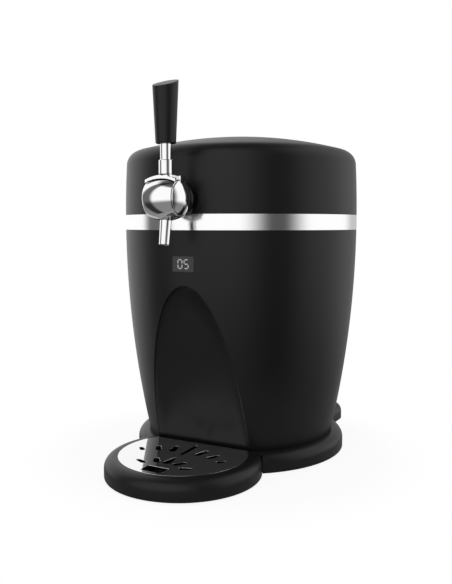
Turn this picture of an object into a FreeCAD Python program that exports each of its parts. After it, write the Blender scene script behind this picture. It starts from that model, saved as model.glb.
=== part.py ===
import FreeCAD, Part
import math
import os
import re
import Sketcher
from FreeCAD import Rotation, Vector

# Mini keg beer dispenser. Frame: +Z up, front faces -Y, origin on the table under the barrel axis.
# Every size is in millimetres and every angle in degrees.

SIZES = {
    # barrel: the keg's well sets its girth, and levels are measured from its waist
    "well_radius": 87.5,
    "jacket": 53,
    "waist_height": 276,
    "bulge_radius": 1195,
    "shell_wall": 3,
    "foot_height": 20.2,
    "shoulder_rise": 68,
    "shoulder_radius": 17,
    "roof_slope": 15.3,
    "ledge_drop": 3,
    "ledge_width": 6.5,
    "ledge_wall": 3,
    # steel band round the waist
    "band_below": 9.5,
    "band_above": 8.4,
    "band_gauge": 0.7,
    "neck_step": 1,
    # slanted front panel at the back of a moulded recess
    "panel_drop": 67,
    "panel_foot_depth": 17.2,
    "panel_foot_height": 18,
    "panel_crown": 3000,
    "recess_foot": 3.2,
    "recess_top": 5,
    "recess_lip": 2.4,
    "panel_gauge": 2.6,
    # clearances
    "gap": 0.3,
    "fit_gap": 0.15,
    "run_gap": 0.4,
    "slip": 0.05,
    # base
    "base_ledge": 14.8,
    "base_height": 22.5,
    "base_floor": 1.2,
    "base_round": 11.5,
    "base_wall": 2.5,
    "plate_gauge": 2.5,
    "tail_width": 162,
    "tail_ledge": 12,
    "tail_corner": 26,
    "tail_roof": 5.5,
    "foot_pad_radius": 9,
    "foot_pad_height": 1.2,
    "foot_inset": 39.6,
    "foot_side": 29.2,
    "foot_rear": 22,
    "rib_inner": 29,
    "rib_outer": 70,
    "boss_radius": 4.5,
    "boss_inset": 26,
    "boss_turn": 38.9,
    "screw_head_radius": 3.2,
    "screw_head_height": 1.1,
    "screw_shank_radius": 1.5,
    "screw_length": 12,
    "vent_count": 9,
    "vent_pitch": 9,
    "vent_width": 4,
    "vent_length": 26,
    "vent_inset": 43,
    # drip tray and its plate
    "tray_radius": 86.2,
    "tray_offset": 40.8,
    "tray_clear": 4.1,
    "tray_rise": 1.1,
    "tray_foot": 0.6,
    "tray_heel": 3,
    "tray_wall": 2.5,
    "tray_rim": 17,
    "basin_floor": 6.4,
    "dock_gap": 0.5,
    "tongue_width": 60,
    "tongue_run": 27.5,
    "tongue_root": 20,
    "grille_ledge": 2,
    "grille_gauge": 1,
    "grille_sink": 1.5,
    "grille_inset": 0.8,
    # the plate's slots fan out from a focus near its front
    "slot_focus": 53,
    "slot_count": 3,
    "slot_turn": 15.7,
    "slot_near": 58.3,
    "slot_far": 71.8,
    "slot_step": 3.4,
    "slot_near_radius": 3.7,
    "slot_far_radius": 3.25,
    "slot_slimmer": 0.45,
    "short_count": 2,
    "short_turn": 34,
    "short_near": 21.3,
    "short_far": 30.3,
    "short_step": 4,
    "short_near_radius": 3.6,
    "short_far_radius": 2.8,
    "middle_near": 49.5,
    "middle_far": 80.5,
    "middle_radius": 2.2,
    "drop_near": 19.5,
    "drop_far": 34.5,
    "drop_near_radius": 4.6,
    "drop_far_radius": 1.8,
    "finger_width": 25,
    "finger_depth": 15,
    "finger_place": 57.5,
    # lid
    "seam_gap": 0.5,
    "lid_wall": 2.5,
    "liner_inset": 9,
    "liner_wall": 2,
    "seal_inset": 7,
    "seal_width": 6,
    "seal_height": 1.5,
    "hinge_outset": 5.4,
    "knuckle_radius": 4.2,
    "knuckle_length": 50,
    "arm_depth": 11.5,
    "arm_rise": 2.6,
    "ear_length": 11,
    "ear_root": 5.5,
    "hinge_pin_radius": 1.6,
    # keg chamber
    "well_wall": 1,
    "well_floor": 44,
    "well_flange": 4,
    "funnel_drop": 15.4,
    "funnel_wall": 3,
    "funnel_rim": 4,
    "foam_gap": 1.7,
    "foam_proud": 1.5,
    # cooling
    "cool_height": 150,
    "block_size": 60,
    "block_depth": 7,
    "peltier_size": 40,
    "peltier_gauge": 4,
    "sink_size": 92,
    "sink_base": 5,
    "sink_play": 2,
    "fin_depth": 28,
    "fin_gauge": 1.5,
    "fin_count": 16,
    "fan_size": 92,
    "fan_depth": 25,
    "fan_gap": 1,
    "fan_bore": 43.5,
    "fan_plate": 3,
    "fan_pin_radius": 1.5,
    "fan_pin_length": 12,
    "hub_radius": 17,
    "hub_inset": 2,
    "blade_count": 7,
    "blade_gauge": 1.6,
    "blade_width": 16,
    "blade_pitch": 38,
    # rear cover
    "cover_width": 120,
    "cover_head": 18,
    "cover_room": 6,
    "cover_wall": 2.5,
    "cover_round": 12,
    "post_radius": 4,
    "post_low": 14,
    "post_high": 10,
    "ring_count": 3,
    "ring_pitch": 8,
    "ring_slot": 5,
    "ring_spoke": 3,
    "louvre_count": 9,
    "louvre_pitch": 9,
    "louvre_width": 4,
    "louvre_length": 26,
    # power entry and switch
    "inlet_x": 26,
    "inlet_z": 52,
    "inlet_width": 27,
    "inlet_height": 20,
    "inlet_depth": 22,
    "inlet_wall": 2,
    "prong_pitch": 7,
    "prong_width": 2,
    "prong_height": 4,
    "earth_rise": 3,
    "flange_gauge": 1.5,
    "switch_x": -28,
    "switch_width": 21,
    "switch_height": 15,
    "switch_depth": 16,
    "switch_wall": 1.5,
    "switch_tilt": 8,
    "rocker_depth": 4,
    "rocker_dip": 2,
    "rocker_rise": 3.5,
    "rocker_gap": 0.7,
    "rocker_draft": 1,
    "axle_radius": 1.2,
    # supply board
    "supply_width": 76,
    "supply_height": 56,
    "supply_rise": 8,
    "supply_step": 1.5,
    "supply_foot": 8,
    "coil_width": 26,
    "coil_depth": 11,
    "coil_height": 20,
    "can_radius": 5.5,
    "can_height": 16,
    # display
    "window_width": 26,
    "window_height": 16.6,
    "window_drop": 45.3,
    "window_gauge": 2.2,
    "window_sink": 0.3,
    "digit_height": 10.5,
    "digit_width": 6.2,
    "digit_pitch": 7.7,
    "segment_width": 1.2,
    "segment_gauge": 0.4,
    "segment_gap": 0.15,
    "led_width": 20,
    "led_depth": 3,
    "led_height": 14,
    "circuit_width": 44,
    "circuit_height": 30,
    "board_gauge": 1.6,
    # tap
    "tap_reach": 31.3,
    "tap_rise": 23.6,
    "ball_radius": 21,
    "ball_half": 17,
    "ball_end_radius": 16,
    "cap_reach": 23.5,
    "neck_radius": 13.2,
    "neck_tail": 2,
    "collar_radius": 19,
    "collar_stand": 9.9,
    "collar_length": 5.2,
    "escutcheon_radius": 23,
    "escutcheon_edge": 4.6,
    "shank_radius": 9,
    "shank_bore": 3.6,
    "shank_reach": 28.5,
    "nut_radius": 15,
    "nut_length": 8,
    "gasket_gauge": 3.2,
    "barb_radius": 3.8,
    "barb_bore": 2.4,
    "barb_height": 20,
    "barb_inset": 5,
    "hose_wall": 1.2,
    "spout_top_radius": 6.4,
    "spout_end_radius": 5.7,
    "spout_bore": 4.2,
    "spout_length": 27,
    "spout_drop": 47.6,
    "spout_lean": 8.6,
    # lever and valve
    "saddle_gap": 0.8,
    "saddle_wall": 2.8,
    "saddle_half": 17.5,
    "saddle_spread": 22,
    "lug_width": 9,
    "lug_gauge": 2.4,
    "lug_drop": 5,
    "stem_radius": 7.4,
    "stem_reach": 38.4,
    "rod_radius": 5.8,
    "rod_length": 16.3,
    "handle_low_radius": 10.5,
    "handle_high_radius": 13.5,
    "handle_length": 60.4,
    "handle_slant": 21,
    "pivot_radius": 2.5,
    "pivot_grip": 3,
    "cam_radius": 5.3,
    "cam_half": 4,
    "lobe_radius": 3,
    "lobe_throw": 7,
    "lobe_turn": 72,
    "valve_radius": 3,
    "valve_bore": 5,
    "valve_length": 12.8,
    "valve_head": 9.4,
    "valve_groove": 1.8,
    "valve_foot": 1.5,
}

doc = FreeCAD.newDocument("mini_keg_dispenser")
sheet = doc.addObject("Spreadsheet::Sheet", "dims")
for row, (alias, number) in enumerate(SIZES.items(), 1):
    sheet.set(f"A{row}", alias)
    sheet.set(f"B{row}", str(number))
    sheet.setAlias(f"B{row}", alias)
doc.recompute()

# the barrel's outline


def barrel(height, inset="0"):
    # barrel radius at a height, less an inset taken square to the wall
    arc = f"sqrt((bulge_radius - ({inset}))^2 - ({height} - waist_height)^2)"
    return f"(waist_radius - bulge_radius + {arc})"


LEAN = "asin((shoulder_height - waist_height)/bulge_radius)"
SHOULDER_R = f"({barrel('shoulder_height')} - shoulder_radius*cos({LEAN}))"
SHOULDER_Z = f"(shoulder_height - shoulder_radius*sin({LEAN}))"
SEAM_R = f"({SHOULDER_R} + shoulder_radius*sin(roof_slope))"
SEAM_Z = f"({SHOULDER_Z} + shoulder_radius*cos(roof_slope))"
LEDGE_Z = f"({SEAM_Z} - ledge_drop)"
LEDGE_R = f"({SEAM_R} - ledge_width)"
COLLAR_Z = f"({LEDGE_Z} - ledge_wall)"
INNER_SHOULDER = "(shoulder_radius - shell_wall)"
WELL_OUT = "(well_radius + well_wall)"
BLOCK_Y = f"({WELL_OUT} + block_depth)"
SINK_Y = f"({BLOCK_Y} + peltier_gauge)"
FIN_Y = f"({SINK_Y} + sink_base)"
FAN_Y = f"({FIN_Y} + fin_depth)"
FAN_END = f"({FAN_Y} + fan_depth)"

# sizes that follow from the driving ones, so that neighbours keep together
FOLLOWS = {
    "waist_radius": "well_radius + jacket",
    "shoulder_height": "waist_height + shoulder_rise",
    "band_low": "waist_height - band_below",
    "band_high": "waist_height + band_above",
    "panel_top": "waist_height - panel_drop",
    "panel_top_reach": barrel("panel_top"),
    "panel_foot_reach": f"{barrel('foot_height')} - panel_foot_depth",
    "base_radius": f"{barrel('foot_height')} + base_ledge",
    "tray_chord": "panel_foot_reach + tray_clear",
    "tray_centre": "tray_chord + tray_offset",
    "tray_lip": "base_height + tray_rise",
    "basin_radius": "tray_radius - tray_rim",
    "grille_radius": "basin_radius + grille_ledge",
    "grille_level": "tray_lip - grille_sink",
    "tongue_reach": "tray_centre + tongue_run",
    "lid_hinge_y": f"{SEAM_R} + hinge_outset",
    "liner_radius": f"{SEAM_R} - liner_inset",
    "seal_radius": "liner_radius - seal_inset",
    "well_top": f"{COLLAR_Z} - funnel_drop",
    "foam_radius": f"{barrel('foot_height', 'shell_wall')} - foam_gap",
    "foam_rear": f"{BLOCK_Y} + foam_proud",
    "cover_low": "base_height + gap",
    "cover_high": "cool_height + sink_size/2 + cover_head",
    "cover_reach": f"{FAN_END} + cover_room + cover_wall",
    "tail_reach": "cover_reach + tail_ledge",
    "board_low": "foot_height + supply_rise",
    "window_level": "waist_height - window_drop",
    "tap_y": "waist_radius + tap_reach",
    "tap_z": "waist_height + tap_rise",
    "collar_rear": "waist_radius + collar_stand",
    "collar_front": "collar_rear + collar_length",
    "shank_rear": "waist_radius - shank_reach",
    "spout_end_z": "tap_z - spout_drop",
    "stem_top": "tap_z + stem_reach",
    "rod_top": "stem_top + rod_length",
    "handle_top": "rod_top + handle_length",
}

ALIAS = re.compile(r"\b(" + "|".join(SIZES) + r")\b")
FOLLOWING = re.compile(r"\b(" + "|".join(FOLLOWS) + r")\b")
nodes = []


def linked(text):
    # the expression as the document reads it: what follows is written out down to the driving
    # sizes, and each alias is led by the sheet's name
    text = str(text)
    while FOLLOWING.search(text):
        text = FOLLOWING.sub(lambda found: f"({FOLLOWS[found.group()]})", text)
    return ALIAS.sub(r"dims.\1", text)


def value(text):
    return float(sheet.evalExpression(linked(text)))


def bind(thing, **fields):
    # sets properties such as Length or Placement_Base_z from expressions
    for field, text in fields.items():
        thing.setExpression(field.replace("_", "."), linked(text))


def place(thing, x="0", y="0", z="0", axis=None, angle="0"):
    if axis:
        thing.Placement = FreeCAD.Placement(Vector(), Rotation(Vector(*axis), 1))
        bind(thing, Placement_Rotation_Angle=angle)
    bind(thing, Placement_Base_x=x, Placement_Base_y=y, Placement_Base_z=z)
    return thing


def node(thing, label):
    thing.Label = label
    nodes.append(thing)
    return thing


# sketches and the features made from them


def body(name):
    return doc.addObject("PartDesign::Body", name)


def sketch(owner, role="XZ_Plane", lift="0"):
    drawing = owner.newObject("Sketcher::SketchObject", owner.Name + "_sketch")
    plane = [o for o in owner.Origin.OriginFeatures if o.Role == role][0]
    drawing.AttachmentSupport = [(plane, "")]
    drawing.MapMode = "FlatFace"
    drawing.setExpression("AttachmentOffset.Base.z", linked(lift))
    return drawing


def fix_point(drawing, shape, end, x, y):
    for kind, text in (("DistanceX", x), ("DistanceY", y)):
        rule = drawing.addConstraint(Sketcher.Constraint(kind, -1, 1, shape, end, value(text)))
        drawing.setExpression(f"Constraints[{rule}]", linked(text))


def outline(drawing, points):
    # a closed outline; (x, y) ends a straight side, (x, y, radius) ends an arc, which turns
    # to the left when the radius is positive and to the right when it is negative
    spots = [Vector(value(p[0]), value(p[1]), 0) for p in points]
    sides = []
    for i, point in enumerate(points):
        start, end = spots[i - 1], spots[i]
        if len(point) == 2:
            shape = drawing.addGeometry(Part.LineSegment(start, end))
            sides.append((shape, 1, 2))
            continue
        radius = value(point[2])
        half = (end - start) * 0.5
        rise = math.sqrt(radius * radius - half.Length**2)
        turn = Vector(0, 0, math.copysign(1, radius)).cross(half).normalize()
        centre = start + half + turn * rise
        first, last = (start, end) if radius > 0 else (end, start)
        angles = [math.atan2(p.y - centre.y, p.x - centre.x) for p in (first, last)]
        circle = Part.Circle(centre, Vector(0, 0, 1), abs(radius))
        shape = drawing.addGeometry(Part.ArcOfCircle(circle, *angles))
        sides.append((shape, 1, 2) if radius > 0 else (shape, 2, 1))
        rule = drawing.addConstraint(Sketcher.Constraint("Radius", shape, abs(radius)))
        drawing.setExpression(f"Constraints[{rule}]", linked(f"abs({point[2]})"))
    for i, (shape, _, tail) in enumerate(sides):
        follower, head, _ = sides[(i + 1) % len(sides)]
        drawing.addConstraint(Sketcher.Constraint("Coincident", shape, tail, follower, head))
        fix_point(drawing, shape, tail, points[i][0], points[i][1])
    return drawing


def rectangle(drawing, x, y, width, height):
    # centred on (x, y)
    left, right = f"{x} - ({width})/2", f"{x} + ({width})/2"
    low, high = f"{y} - ({height})/2", f"{y} + ({height})/2"
    return outline(drawing, [(left, low), (right, low), (right, high), (left, high)])


def circle(drawing, x, y, radius):
    spot = Vector(value(x), value(y), 0)
    ring = drawing.addGeometry(Part.Circle(spot, Vector(0, 0, 1), value(radius)))
    rule = drawing.addConstraint(Sketcher.Constraint("Radius", ring, value(radius)))
    drawing.setExpression(f"Constraints[{rule}]", linked(radius))
    fix_point(drawing, ring, 3, x, y)
    return drawing


def drop(drawing, x0, y0, radius0, x1, y1, radius1):
    # two round ends joined by straight sides tangent to both
    ends = [Vector(value(x0), value(y0), 0), Vector(value(x1), value(y1), 0)]
    radii = [value(radius0), value(radius1)]
    along = ends[1] - ends[0]
    heading = math.atan2(along.y, along.x)
    spread = math.acos((radii[0] - radii[1]) / along.Length)
    arcs = []
    for i, (start, stop) in enumerate(((spread, -spread), (-spread, spread))):
        ring = Part.Circle(ends[i], Vector(0, 0, 1), radii[i])
        arc = Part.ArcOfCircle(ring, heading + start, heading + stop)
        arcs.append(drawing.addGeometry(arc))
    for i, (x, y, radius) in enumerate(((x0, y0, radius0), (x1, y1, radius1))):
        rule = drawing.addConstraint(Sketcher.Constraint("Radius", arcs[i], radii[i]))
        drawing.setExpression(f"Constraints[{rule}]", linked(radius))
        fix_point(drawing, arcs[i], 3, x, y)
    for tail, head in ((0, 1), (1, 0)):
        start = drawing.Geometry[arcs[tail]].EndPoint
        end = drawing.Geometry[arcs[head]].StartPoint
        side = drawing.addGeometry(Part.LineSegment(start, end))
        drawing.addConstraint(Sketcher.Constraint("Tangent", arcs[tail], 2, side, 1))
        drawing.addConstraint(Sketcher.Constraint("Tangent", side, 2, arcs[head], 1))
    return drawing


def feature(owner, kind, drawing, name, **sizes):
    made = owner.newObject("PartDesign::" + kind, owner.Name + "_" + name)
    made.Profile = drawing
    bind(made, **sizes)
    return made


def revolve(owner, points, about="V_Axis", groove=False):
    # turns an outline on the XZ plane about the vertical or the horizontal sketch axis
    drawing = outline(sketch(owner), points)
    made = feature(owner, "Groove" if groove else "Revolution", drawing, "turn")
    made.ReferenceAxis = (drawing, [about])
    made.Angle = 360
    return made


def pad(owner, drawing, length, reversed_way=False):
    made = feature(owner, "Pad", drawing, "pad", Length=length)
    made.Reversed = reversed_way
    return made


def pocket(owner, drawing, length, reversed_way=False):
    made = feature(owner, "Pocket", drawing, "pocket", Length=length)
    made.Reversed = reversed_way
    return made


def turned(name, points, about="V_Axis"):
    made = body(name)
    revolve(made, points, about)
    return made


def ring(name, inner, outer, low, high):
    return turned(name, [(inner, low), (outer, low), (outer, high), (inner, high)])


def disc(name, radius, low, high):
    return ring(name, "0", radius, low, high)


def block(name, x, y, z, width, depth, height):
    # a box centred on x and y, standing on z
    made = doc.addObject("Part::Box", name)
    bind(made, Length=width, Width=depth, Height=height)
    return place(made, f"{x} - ({width})/2", f"{y} - ({depth})/2", z)


def rod(name, radius, length, x="0", y="0", z="0", axis=None, angle="0"):
    made = doc.addObject("Part::Cylinder", name)
    bind(made, Radius=radius, Height=length)
    return place(made, x, y, z, axis, angle)


def along_tap(name, radius, front, rear):
    # a round bar along the tap's line, given by its front and rear distances from the barrel axis
    return rod(name, radius, f"{front} - ({rear})", "0", f"-({front})", "tap_z", (-1, 0, 0), "90")


def fuse(name, shapes):
    made = doc.addObject("Part::MultiFuse", name)
    made.Shapes = shapes
    made.Refine = True
    return made


def cut(name, base, *tools):
    made = doc.addObject("Part::Cut", name)
    made.Base = base
    made.Tool = tools[0] if len(tools) == 1 else fuse(name + "_tools", list(tools))
    made.Refine = True
    return made


def common(name, base, tool):
    made = doc.addObject("Part::Common", name)
    made.Base = base
    made.Tool = tool
    made.Refine = True
    return made


def group(name, shapes):
    made = doc.addObject("Part::Compound", name)
    made.Links = shapes
    return made


# the lid's hinge, the shoulder, and the solids that the shells are cut with

# the lid's hinge runs clear of the shoulder's round by the knuckle and a running gap
HINGE_STEP = "(shoulder_radius + knuckle_radius + run_gap)"
HINGE_Z = f"({SHOULDER_Z} + sqrt({HINGE_STEP}^2 - (lid_hinge_y - {SHOULDER_R})^2))"


def shoulder(radius, angle):
    # a point on the shoulder's round, at an angle up from the horizontal
    return (
        f"({SHOULDER_R} + {radius}*cos({angle}))",
        f"({SHOULDER_Z} + {radius}*sin({angle}))",
    )


def front_slab(name, near, far, reach):
    # the space from one depth to another behind the slanted front face, across the barrel; a
    # depth is one size or a pair for foot and top, and the face is an upright arc leaning forward
    made = body(name)
    drawing = sketch(made, "YZ_Plane", f"-({reach})")
    rise = "(panel_top - panel_foot_height)"
    lean = f"atan((panel_top_reach - panel_foot_reach)/{rise})"
    ends = {
        "foot": ("panel_foot_reach", "panel_foot_height", "-2*gap"),
        "top": ("panel_top_reach", "panel_top", "4*panel_gauge"),
    }
    points = []
    for depths, order in ((near, ("foot", "top")), (far, ("top", "foot"))):
        depths = dict(zip(("foot", "top"), depths if isinstance(depths, tuple) else (depths, depths)))
        for end in order:
            y, z, stretch = ends[end]
            across = f"-({y}) + ({depths[end]})*cos({lean}) - ({stretch})*sin({lean})"
            up = f"{z} + ({depths[end]})*sin({lean}) + ({stretch})*cos({lean})"
            points.append((across, up))
    points[1] += ("-panel_crown",)
    points[3] += ("panel_crown",)
    pad(made, outline(drawing, points), f"2*({reach})")
    return made


def barrel_core(name, inset, low, high):
    # the solid barrel, less an inset, between two heights
    return turned(
        name,
        [
            ("0", low),
            (barrel(low, inset), low),
            (barrel(high, inset), high, f"bulge_radius - ({inset})"),
            ("0", high),
        ],
    )


# housing shells

NECK = {end: f"({barrel(end)} - neck_step)" for end in ("band_low", "band_high")}
lower = turned(
    "lower_wall",
    [
        (barrel("foot_height"), "foot_height"),
        (barrel("band_low"), "band_low", "bulge_radius"),
        (NECK["band_low"], "band_low"),
        (NECK["band_low"], "waist_height - gap"),
        (barrel("waist_height - gap", "shell_wall"), "waist_height - gap"),
        (barrel("foot_height", "shell_wall"), "foot_height", "-(bulge_radius - shell_wall)"),
    ],
)
# four bosses stand out behind to take the rear cover's screws
POST_X = "(cover_width/2 - cover_round - post_radius)"
POST_Z = ("(cover_low + post_low)", "(cover_high - post_high)")
POST_END = "(cover_reach - cover_wall)"
POSTS = [
    (f"{side}_{level}", f"{sign}{POST_X}", z)
    for side, sign in (("left", "-"), ("right", ""))
    for level, z in zip(("low", "high"), POST_Z)
]
posts = [
    rod(f"post_{tag}", "post_radius", f"{POST_END} - well_radius", x, "well_radius", z, (-1, 0, 0), "90")
    for tag, x, z in POSTS
]
core = barrel_core("lower_core", "shell_wall/2", "foot_height - base_wall", "band_low")
# the recess: the barrel is planed off by the slanted face, and the outline that this leaves is
# sunk straight back to the panel, which lies behind a moulded lip
SLAB_REACH = "(well_radius - panel_gauge)"
SINK = ("recess_foot", "recess_top")
planed = common(
    "planed_off",
    barrel_core("planed_core", "0", "foot_height - base_wall", "panel_top + 2*panel_gauge"),
    front_slab("planing", "-waist_radius/2", "0", SLAB_REACH),
)
doc.recompute()
flat_face = next(face for face in planed.Shape.Faces if isinstance(face.Surface, Part.Cylinder))
sunk = doc.addObject("Part::Feature", "recess_sunk")
sunk.Shape = flat_face.extrude(Vector(0, value("3*recess_top"), 0))
recess = common("recess_room", sunk, front_slab("recess_slab", "-panel_gauge", SINK, SLAB_REACH))
lip_core = barrel_core("lip_core", "shell_wall/2", "foot_height", "panel_top + 2*panel_gauge")
lip = common("recess_lip_plate", lip_core, front_slab("lip_slab", "recess_lip", SINK, SLAB_REACH))
window_hole = block(
    "window_hole",
    "0",
    "-waist_radius",
    "window_level - window_height/2 - fit_gap",
    "window_width + 2*fit_gap",
    "4*shell_wall",
    "window_height + 2*fit_gap",
)
sink_window = block(
    "sink_window",
    "0",
    f"({SINK_Y} + {FAN_END})/2",
    "cool_height - sink_size/2 - sink_play",
    "sink_size + 2*sink_play",
    f"{FAN_END} - {SINK_Y}",
    "sink_size + 2*sink_play",
)
SCREW_DEPTH = "(screw_length + gap)"
screw_holes = [
    rod(
        f"post_hole_{tag}",
        "screw_shank_radius",
        SCREW_DEPTH,
        x,
        f"{POST_END} + cover_wall - {SCREW_DEPTH}",
        z,
        (-1, 0, 0),
        "90",
    )
    for tag, x, z in POSTS
]
shell = fuse("lower_mass", [lower, lip, cut("posts", fuse("post_rods", posts), core)])
front_cut = front_slab("front_cut", "-waist_radius/2", "0", SLAB_REACH)
node(cut("lower_parted", shell, front_cut, recess, sink_window, window_hole, *screw_holes), "lower_shell")

BEHIND = tuple(f"{depth} + panel_gauge" for depth in SINK)
panel_face = front_slab("panel_slab", SINK, BEHIND, SLAB_REACH)
panel_edge = barrel_core("panel_edge", "shell_wall + fit_gap", "foot_height", "panel_top + 2*panel_gauge")
node(common("panel_plate", panel_edge, panel_face), "recess_panel")

node(
    turned(
        "band",
        [
            (f"{barrel('band_low + fit_gap')} - band_gauge", "band_low + fit_gap"),
            (barrel("band_low + fit_gap"), "band_low + fit_gap"),
            (barrel("band_high - fit_gap"), "band_high - fit_gap", "bulge_radius"),
            (f"{barrel('band_low + fit_gap')} - band_gauge", "band_high - fit_gap"),
        ],
    ),
    "steel_band",
)

COLLAR_ANGLE = f"asin(({COLLAR_Z} - {SHOULDER_Z})/{INNER_SHOULDER})"
upper = turned(
    "upper_wall",
    [
        (NECK["band_high"], "waist_height"),
        (NECK["band_high"], "band_high"),
        (barrel("band_high"), "band_high"),
        (barrel("shoulder_height"), "shoulder_height", "bulge_radius"),
        (SEAM_R, SEAM_Z, "shoulder_radius"),
        (SEAM_R, LEDGE_Z),
        (LEDGE_R, LEDGE_Z),
        (LEDGE_R, COLLAR_Z),
        shoulder(INNER_SHOULDER, COLLAR_ANGLE)[:1] + (COLLAR_Z,),
        shoulder(INNER_SHOULDER, LEAN) + (f"-{INNER_SHOULDER}",),
        (barrel("waist_height", "shell_wall"), "waist_height", "-(bulge_radius - shell_wall)"),
    ],
)
EAR_X = "(knuckle_length/2 + run_gap + ear_length/2)"
EAR_ROOT = f"({SEAM_Z} - ear_root)"
ears = []
for side, sign in (("left", "-"), ("right", "")):
    x = f"{sign}{EAR_X}"
    eye = ("ear_length", f"{x} - ear_length/2", "lid_hinge_y", HINGE_Z, (0, 1, 0), "90")
    ears.append(rod(f"ear_{side}", "knuckle_radius", *eye))
    foot = ("ear_length", "1.6*knuckle_radius", f"{HINGE_Z} - {EAR_ROOT}")
    ears.append(block(f"ear_foot_{side}", x, "lid_hinge_y", EAR_ROOT, *foot))
PIN_LENGTH = "(knuckle_length + 2*run_gap + 2*ear_length)"
HINGE_LINE = (f"-{PIN_LENGTH}/2", "lid_hinge_y", HINGE_Z, (0, 1, 0), "90")
pin_hole = rod("ear_hole", "hinge_pin_radius", PIN_LENGTH, *HINGE_LINE)
TAP_SKIN = barrel("tap_z")
TAP_HOLE = (f"{TAP_SKIN} + shell_wall", f"{TAP_SKIN} - 3*shell_wall")
tap_hole = along_tap("tap_hole", "shank_radius + fit_gap", *TAP_HOLE)
node(cut("upper_parted", fuse("upper_mass", [upper] + ears), pin_hole, tap_hole), "upper_shell")
node(rod("lid_pin", "hinge_pin_radius - slip", PIN_LENGTH, *HINGE_LINE), "lid_hinge_pin")

# base: a round stand with a tail behind, open below and closed by a plate

ROOM = "(2*base_radius)"
DOCK = "(tray_chord - dock_gap)"
PLATE_TOP = "(base_floor + plate_gauge)"


def before(name, face, low, high):
    # everything in front of an upright face, between two levels
    return block(name, "0", f"-({face}) - {ROOM}/2", low, ROOM, ROOM, f"{high} - ({low})")


def tail_outline(drawing, inset):
    half = f"(tail_width/2 - {inset})"
    reach = f"(tail_reach - {inset})"
    corner = f"(tail_corner - {inset})"
    return outline(
        drawing,
        [
            (half, "0"),
            (half, f"{reach} - {corner}"),
            (f"{half} - {corner}", reach, corner),
            (f"-({half} - {corner})", reach),
            (f"-{half}", f"{reach} - {corner}", corner),
            (f"-{half}", "0"),
        ],
    )


def round_top(owner, base, radius, level):
    # rounds the edges of the top face, apart from the straight one inside the barrel
    edges = []
    for i, edge in enumerate(base.Shape.Edges, 1):
        box = edge.BoundBox
        on_top = box.ZMin > value(level) - value("slip")
        if on_top and box.YMax > value("well_radius"):
            edges.append(f"Edge{i}")
    made = owner.newObject("PartDesign::Fillet", owner.Name + "_round")
    made.Base = (base, edges)
    bind(made, Radius=radius)
    return made


def quarters(radius, turn):
    # four places on a circle, one in each quarter
    signs = [(x, y) for x in ("", "-") for y in ("", "-")]
    return [(f"{x}({radius})*cos({turn})", f"{y}({radius})*sin({turn})") for x, y in signs]


tail = body("base_tail")
tail_pad = pad(tail, tail_outline(sketch(tail, "XY_Plane", "base_floor"), "0"), "base_height - base_floor")
doc.recompute()
round_top(tail, tail_pad, "base_round", "base_height")
stand = turned(
    "base_disc",
    [
        ("0", "base_floor"),
        ("base_radius", "base_floor"),
        ("base_radius", "base_height - base_round"),
        ("base_radius - base_round", "base_height", "base_round"),
        ("0", "base_height"),
    ],
)
HOLLOW_TOP = "(foot_height - base_wall)"
HOLLOW_RISE = f"({HOLLOW_TOP} - base_height + base_round)"
HOLLOW_EDGE = f"(base_radius - base_round + sqrt((base_round - base_wall)^2 - {HOLLOW_RISE}^2))"
hollow = turned(
    "base_hollow",
    [
        ("0", "0"),
        ("base_radius - base_wall", "0"),
        ("base_radius - base_wall", "base_height - base_round"),
        (HOLLOW_EDGE, HOLLOW_TOP, "base_round - base_wall"),
        ("0", HOLLOW_TOP),
    ],
)
tail_hollow = body("tail_hollow")
pad(tail_hollow, tail_outline(sketch(tail_hollow, "XY_Plane", "0"), "base_wall"), "base_height - tail_roof")
SEAT_HIGH = "(base_height + base_wall)"
barrel_seat = disc("barrel_seat", f"{barrel('base_height')} + gap", "foot_height", SEAT_HIGH)
tray_bay = before("tray_bay", DOCK, "0", SEAT_HIGH)
STRIP = (ROOM, "base_wall", "foot_height")
front_strip = block("front_strip", "0", f"-{DOCK} + base_wall/2", "base_floor", *STRIP)
front_disc = disc("front_disc", "base_radius - base_wall", "base_floor", "foot_height")
ribs = [
    ring(f"base_rib_{radius}", radius, f"{radius} + base_wall", PLATE_TOP, HOLLOW_TOP)
    for radius in ("rib_inner", "rib_outer")
]
SCREW_SPOTS = quarters("base_radius - boss_inset", "boss_turn")
bosses = [
    rod(f"base_boss_{i}", "boss_radius", f"{HOLLOW_TOP} - {PLATE_TOP}", x, y, PLATE_TOP)
    for i, (x, y) in enumerate(SCREW_SPOTS)
]
boss_holes = [
    rod(f"boss_hole_{i}", "screw_shank_radius", "screw_length + gap", x, y, "base_floor")
    for i, (x, y) in enumerate(SCREW_SPOTS)
]
hollowed = cut("base_open", fuse("base_mass", [stand, tail]), hollow, tail_hollow, barrel_seat, tray_bay)
front_wall = common("front_wall", front_disc, front_strip)
stiffened = fuse("base_ribbed", [hollowed, front_wall] + ribs + bosses)
TONGUE_SLOT = ("tongue_width + 2*gap", "4*base_wall", f"{PLATE_TOP} + gap")
tongue_way = block("tongue_way", "0", f"-{DOCK} + base_wall", "0", *TONGUE_SLOT)
node(cut("base_drilled", stiffened, tongue_way, *boss_holes), "base_housing")

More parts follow.
